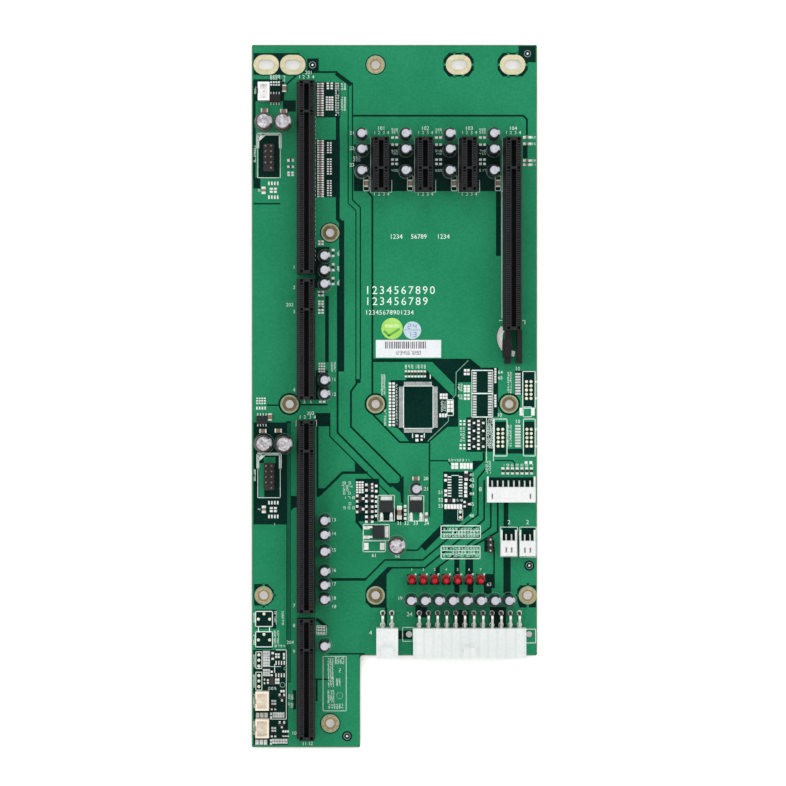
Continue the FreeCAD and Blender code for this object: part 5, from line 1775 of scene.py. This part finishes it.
@dataclass
class Print:
    """White print on the board: outlines, plain numbers, small digits and rings round the cans."""

    digit_weight: float = 0.15
    digit_size: tuple = (0.72, 1.2)
    seed: int = 786
    ring_gap: float = 0.62
    ring_weight: float = 0.14
    crescent_gap: float = 0.15
    crescent_turn: float = -25.0
    crescent_sweep: float = 180.0
    ring_steps: int = 32
    lamp_ring: tuple = (2.05, 2.2)
    spots: tuple = ((-25.3, -138.5, 1.3), (-51.75, -133.6, 0.95), (-50.45, -126.0, 0.5))

    def build(self) -> None:
        """Make and dress the print."""
        rings, crescents = self.add_rings()
        for piece, look in (
            (self.lay_lines(STROKES, "printed_strokes"), INK),
            (self.lay(self.digit_places(), "printed_digits"), INK),
            (self.add_numbers(), INK),
            (rings, FAINT_INK),
            (crescents, HATCH_INK_AND_PAINTED_SHADE),
            (self.lay_lines(TRACES, "guard_traces"), FAINT_INK),
        ):
            hand_over(piece, look)

    def lay(self, places: list[Matrix], name: str) -> Piece:
        """Lay one stroke on every place."""
        return copy_out(to_origin(add_block((-0.5, 0.5), (-0.5, 0.5), (0, INK_HEIGHT))), places, name)

    def lay_lines(self, lines: list[InkLine], name: str) -> Piece:
        """Lay the strokes of every line and outline."""
        return self.lay([place for line in lines for place in line.places()], name)

    def digit_places(self) -> list[Matrix]:
        """Return the strokes of a plain digit for every cell of the marks."""
        rng = random.Random(self.seed)
        found = []
        for mark in MARKS:
            wide, tall = mark.width * self.digit_size[0], mark.height * self.digit_size[1]
            for x, y in mark.cells():
                for key in rng.choice(DIGITS):
                    across, along, flat = SEGMENTS[key]
                    size = (wide, self.digit_weight, 1) if flat else (self.digit_weight, tall / 2, 1)
                    found.append(place_at(x + across * wide, y + along * tall, 0, 0, size))
        return found

    def add_numbers(self) -> Piece:
        """Print the plain numbers."""
        made = []
        for number in NUMBERS:
            deselect_all()
            place = (number.x * MM, number.y * MM, BOARD_HIGH * MM)
            bpy.ops.object.text_add(location=place)
            text = bpy.context.object.data
            text.body = str(number.value)
            text.size = number.size * MM * 1.2
            text.align_x = text.align_y = "CENTER"
            text.resolution_u = 2
            text.space_character = number.spacing
            text.extrude = INK_HEIGHT * MM
            bpy.ops.object.convert(target="MESH")
            bpy.ops.object.transform_apply(location=True, rotation=True, scale=True)
            made.append(bpy.context.object)
        return join(made, "printed_numbers")

    def add_rings(self) -> tuple[Piece, Piece]:
        """Print a thin ring round every can and lamp, and a crescent beside the small cans, hatched print
        darkened further with painted shade.

        Returns:
            The rings and the crescents.
        """
        small = [spot for _, places in CAN_PLACES[:-1] for spot in places]
        groups = [(*self.lamp_ring, [(x, y - 0.3) for x, y in Lamps().spots()])]
        groups += [(radius, radius + 0.3, [(x, y)]) for x, y, radius in self.spots]
        for kind, spots in ((SMALL_CAN, small), (LARGE_CAN, CAN_PLACES[-1][1])):
            inner = kind.radius + self.ring_gap
            groups.append((inner, inner + self.ring_weight, spots))
        z = (0, INK_HEIGHT)
        rings = [
            copy_out(add_ring(near, far, z, self.ring_steps), places_at(spots), "ring_group")
            for near, far, spots in groups
        ]
        near, far = SMALL_CAN.radius + self.crescent_gap, SMALL_CAN.radius + self.ring_gap - 0.05
        crescent = add_ring(near, far, z, self.ring_steps, self.crescent_sweep)
        crescents = copy_out(crescent, places_at(small, 0, self.crescent_turn), "printed_crescents")
        return join(rings, "printed_rings"), crescents


# Stickers


@dataclass
class Stickers:
    """Two round stickers and a white label with plain bars and digits."""

    green: tuple = (-1.1, 31.2, 4.95)
    blue: tuple = (8.27, 30.46, 4.05)
    tick: tuple = ((-4.7, 30.1), (-2.6, 27.9), (2.2, 31.0))
    tick_weight: float = 1.0
    band: tuple = (-4.4, 31.6, 2.2, 33.2)
    blue_line: tuple = (4.5, 30.45, 12.0, 30.75)
    label: tuple = (-8.59, 17.8, 21.6, 25.98)
    bars: tuple = (-4.3, 22.0, 14.6, 25.2)
    bar_width: float = 0.5
    digits: PadGrid = PadGrid(6.1, 20.0, 0.8, 1.6, 10, 1.25)
    disc_digits: PadGrid = PadGrid(8.15, 30.4, 1.3, 2.0, 2, 2.5, 2, 3.8)
    digit_half: float = 0.13
    thickness: float = 0.16
    print_height: float = 0.03
    seed: int = 5812

    def build(self) -> None:
        """Make and dress the stickers."""
        self.finish(self.add_disc(*self.green), "green_disc", DISC_GREEN)
        self.finish(self.add_disc(*self.blue), "blue_disc", DISC_BLUE)
        self.finish(self.add_print(*self.band), "green_disc_band", BAND_PALE)
        z = (self.thickness, self.thickness + self.print_height)
        strokes = [Channel(self.tick_weight, self.tick[i:i + 2]).strokes(z)[0] for i in range(2)]
        self.finish(join(strokes, "tick"), "green_disc_tick", TICK_GREEN)
        self.finish(self.add_print(*self.blue_line), "blue_disc_line", BLUE_LINE)
        self.finish(self.add_digits(self.disc_digits), "blue_disc_digits", DIGIT_BLUE)
        self.add_label()

    def add_disc(self, x: float, y: float, radius: float) -> Piece:
        """Add one round sticker with a soft edge."""
        edge, top = radius - 0.1, self.thickness
        disc = add_lathe([(0, 0), (radius, 0), (radius, 0.1), (edge, top), (0, top)], 48)
        disc.data.transform(place_at(x, y))
        smooth(disc)
        return disc

    def add_print(self, left: float, low: float, right: float, high: float) -> Piece:
        """Add one printed rectangle on a sticker."""
        return add_block((left, right), (low, high), (self.thickness, self.thickness + self.print_height))

    def finish(self, piece: Piece, name: str, look: Finish) -> None:
        """Name, dress and hand over one piece."""
        piece.name = name
        hand_over(piece, look)

    def add_label(self) -> None:
        """Add the white label, its bars and its digits."""
        left, low, right, high = self.label
        label = add_block((left, right), (low, high), (0, self.thickness))
        apply_modifier(label, "BEVEL", width=0.05 * MM, segments=1)
        self.finish(label, "white_label", LABEL_WHITE)
        rng = random.Random(self.seed)
        x, y0, end, y1 = self.bars
        bars = []
        while x < end:
            width = rng.uniform(0.5, 1.3) * self.bar_width
            bars.append(self.add_print(x, y0, x + width, y1))
            x += width + rng.uniform(0.5, 1.2) * self.bar_width
        self.finish(join(bars, "bars"), "label_bars", LABEL_BAR)
        self.finish(self.add_digits(self.digits), "label_digits", LABEL_GREY)

    def add_digits(self, grid: PadGrid) -> Piece:
        """Add plain digits in the cells of a grid."""
        strokes = []
        for i, (x, y) in enumerate(grid.cells()):
            for key in DIGITS[(i + 1) % 10]:
                across, along, flat = SEGMENTS[key]
                half_x = grid.width / 2 if flat else self.digit_half
                half_y = self.digit_half if flat else grid.height / 4
                at_x, at_y = x + across * grid.width, y + along * grid.height
                strokes.append(self.add_print(at_x - half_x, at_y - half_y, at_x + half_x, at_y + half_y))
        return join(strokes, "digits")


def main() -> None:
    """Build every sub-assembly in order."""
    logging.basicConfig(level=logging.INFO, format="%(name)s %(message)s")
    for kind in (
        Studio, BoardFaces, CardSlots, Capacitors, Lamps, Connectors, SurfaceParts, Print, Stickers,
    ):
        kind().build()


if __name__ == "__main__":
    main()
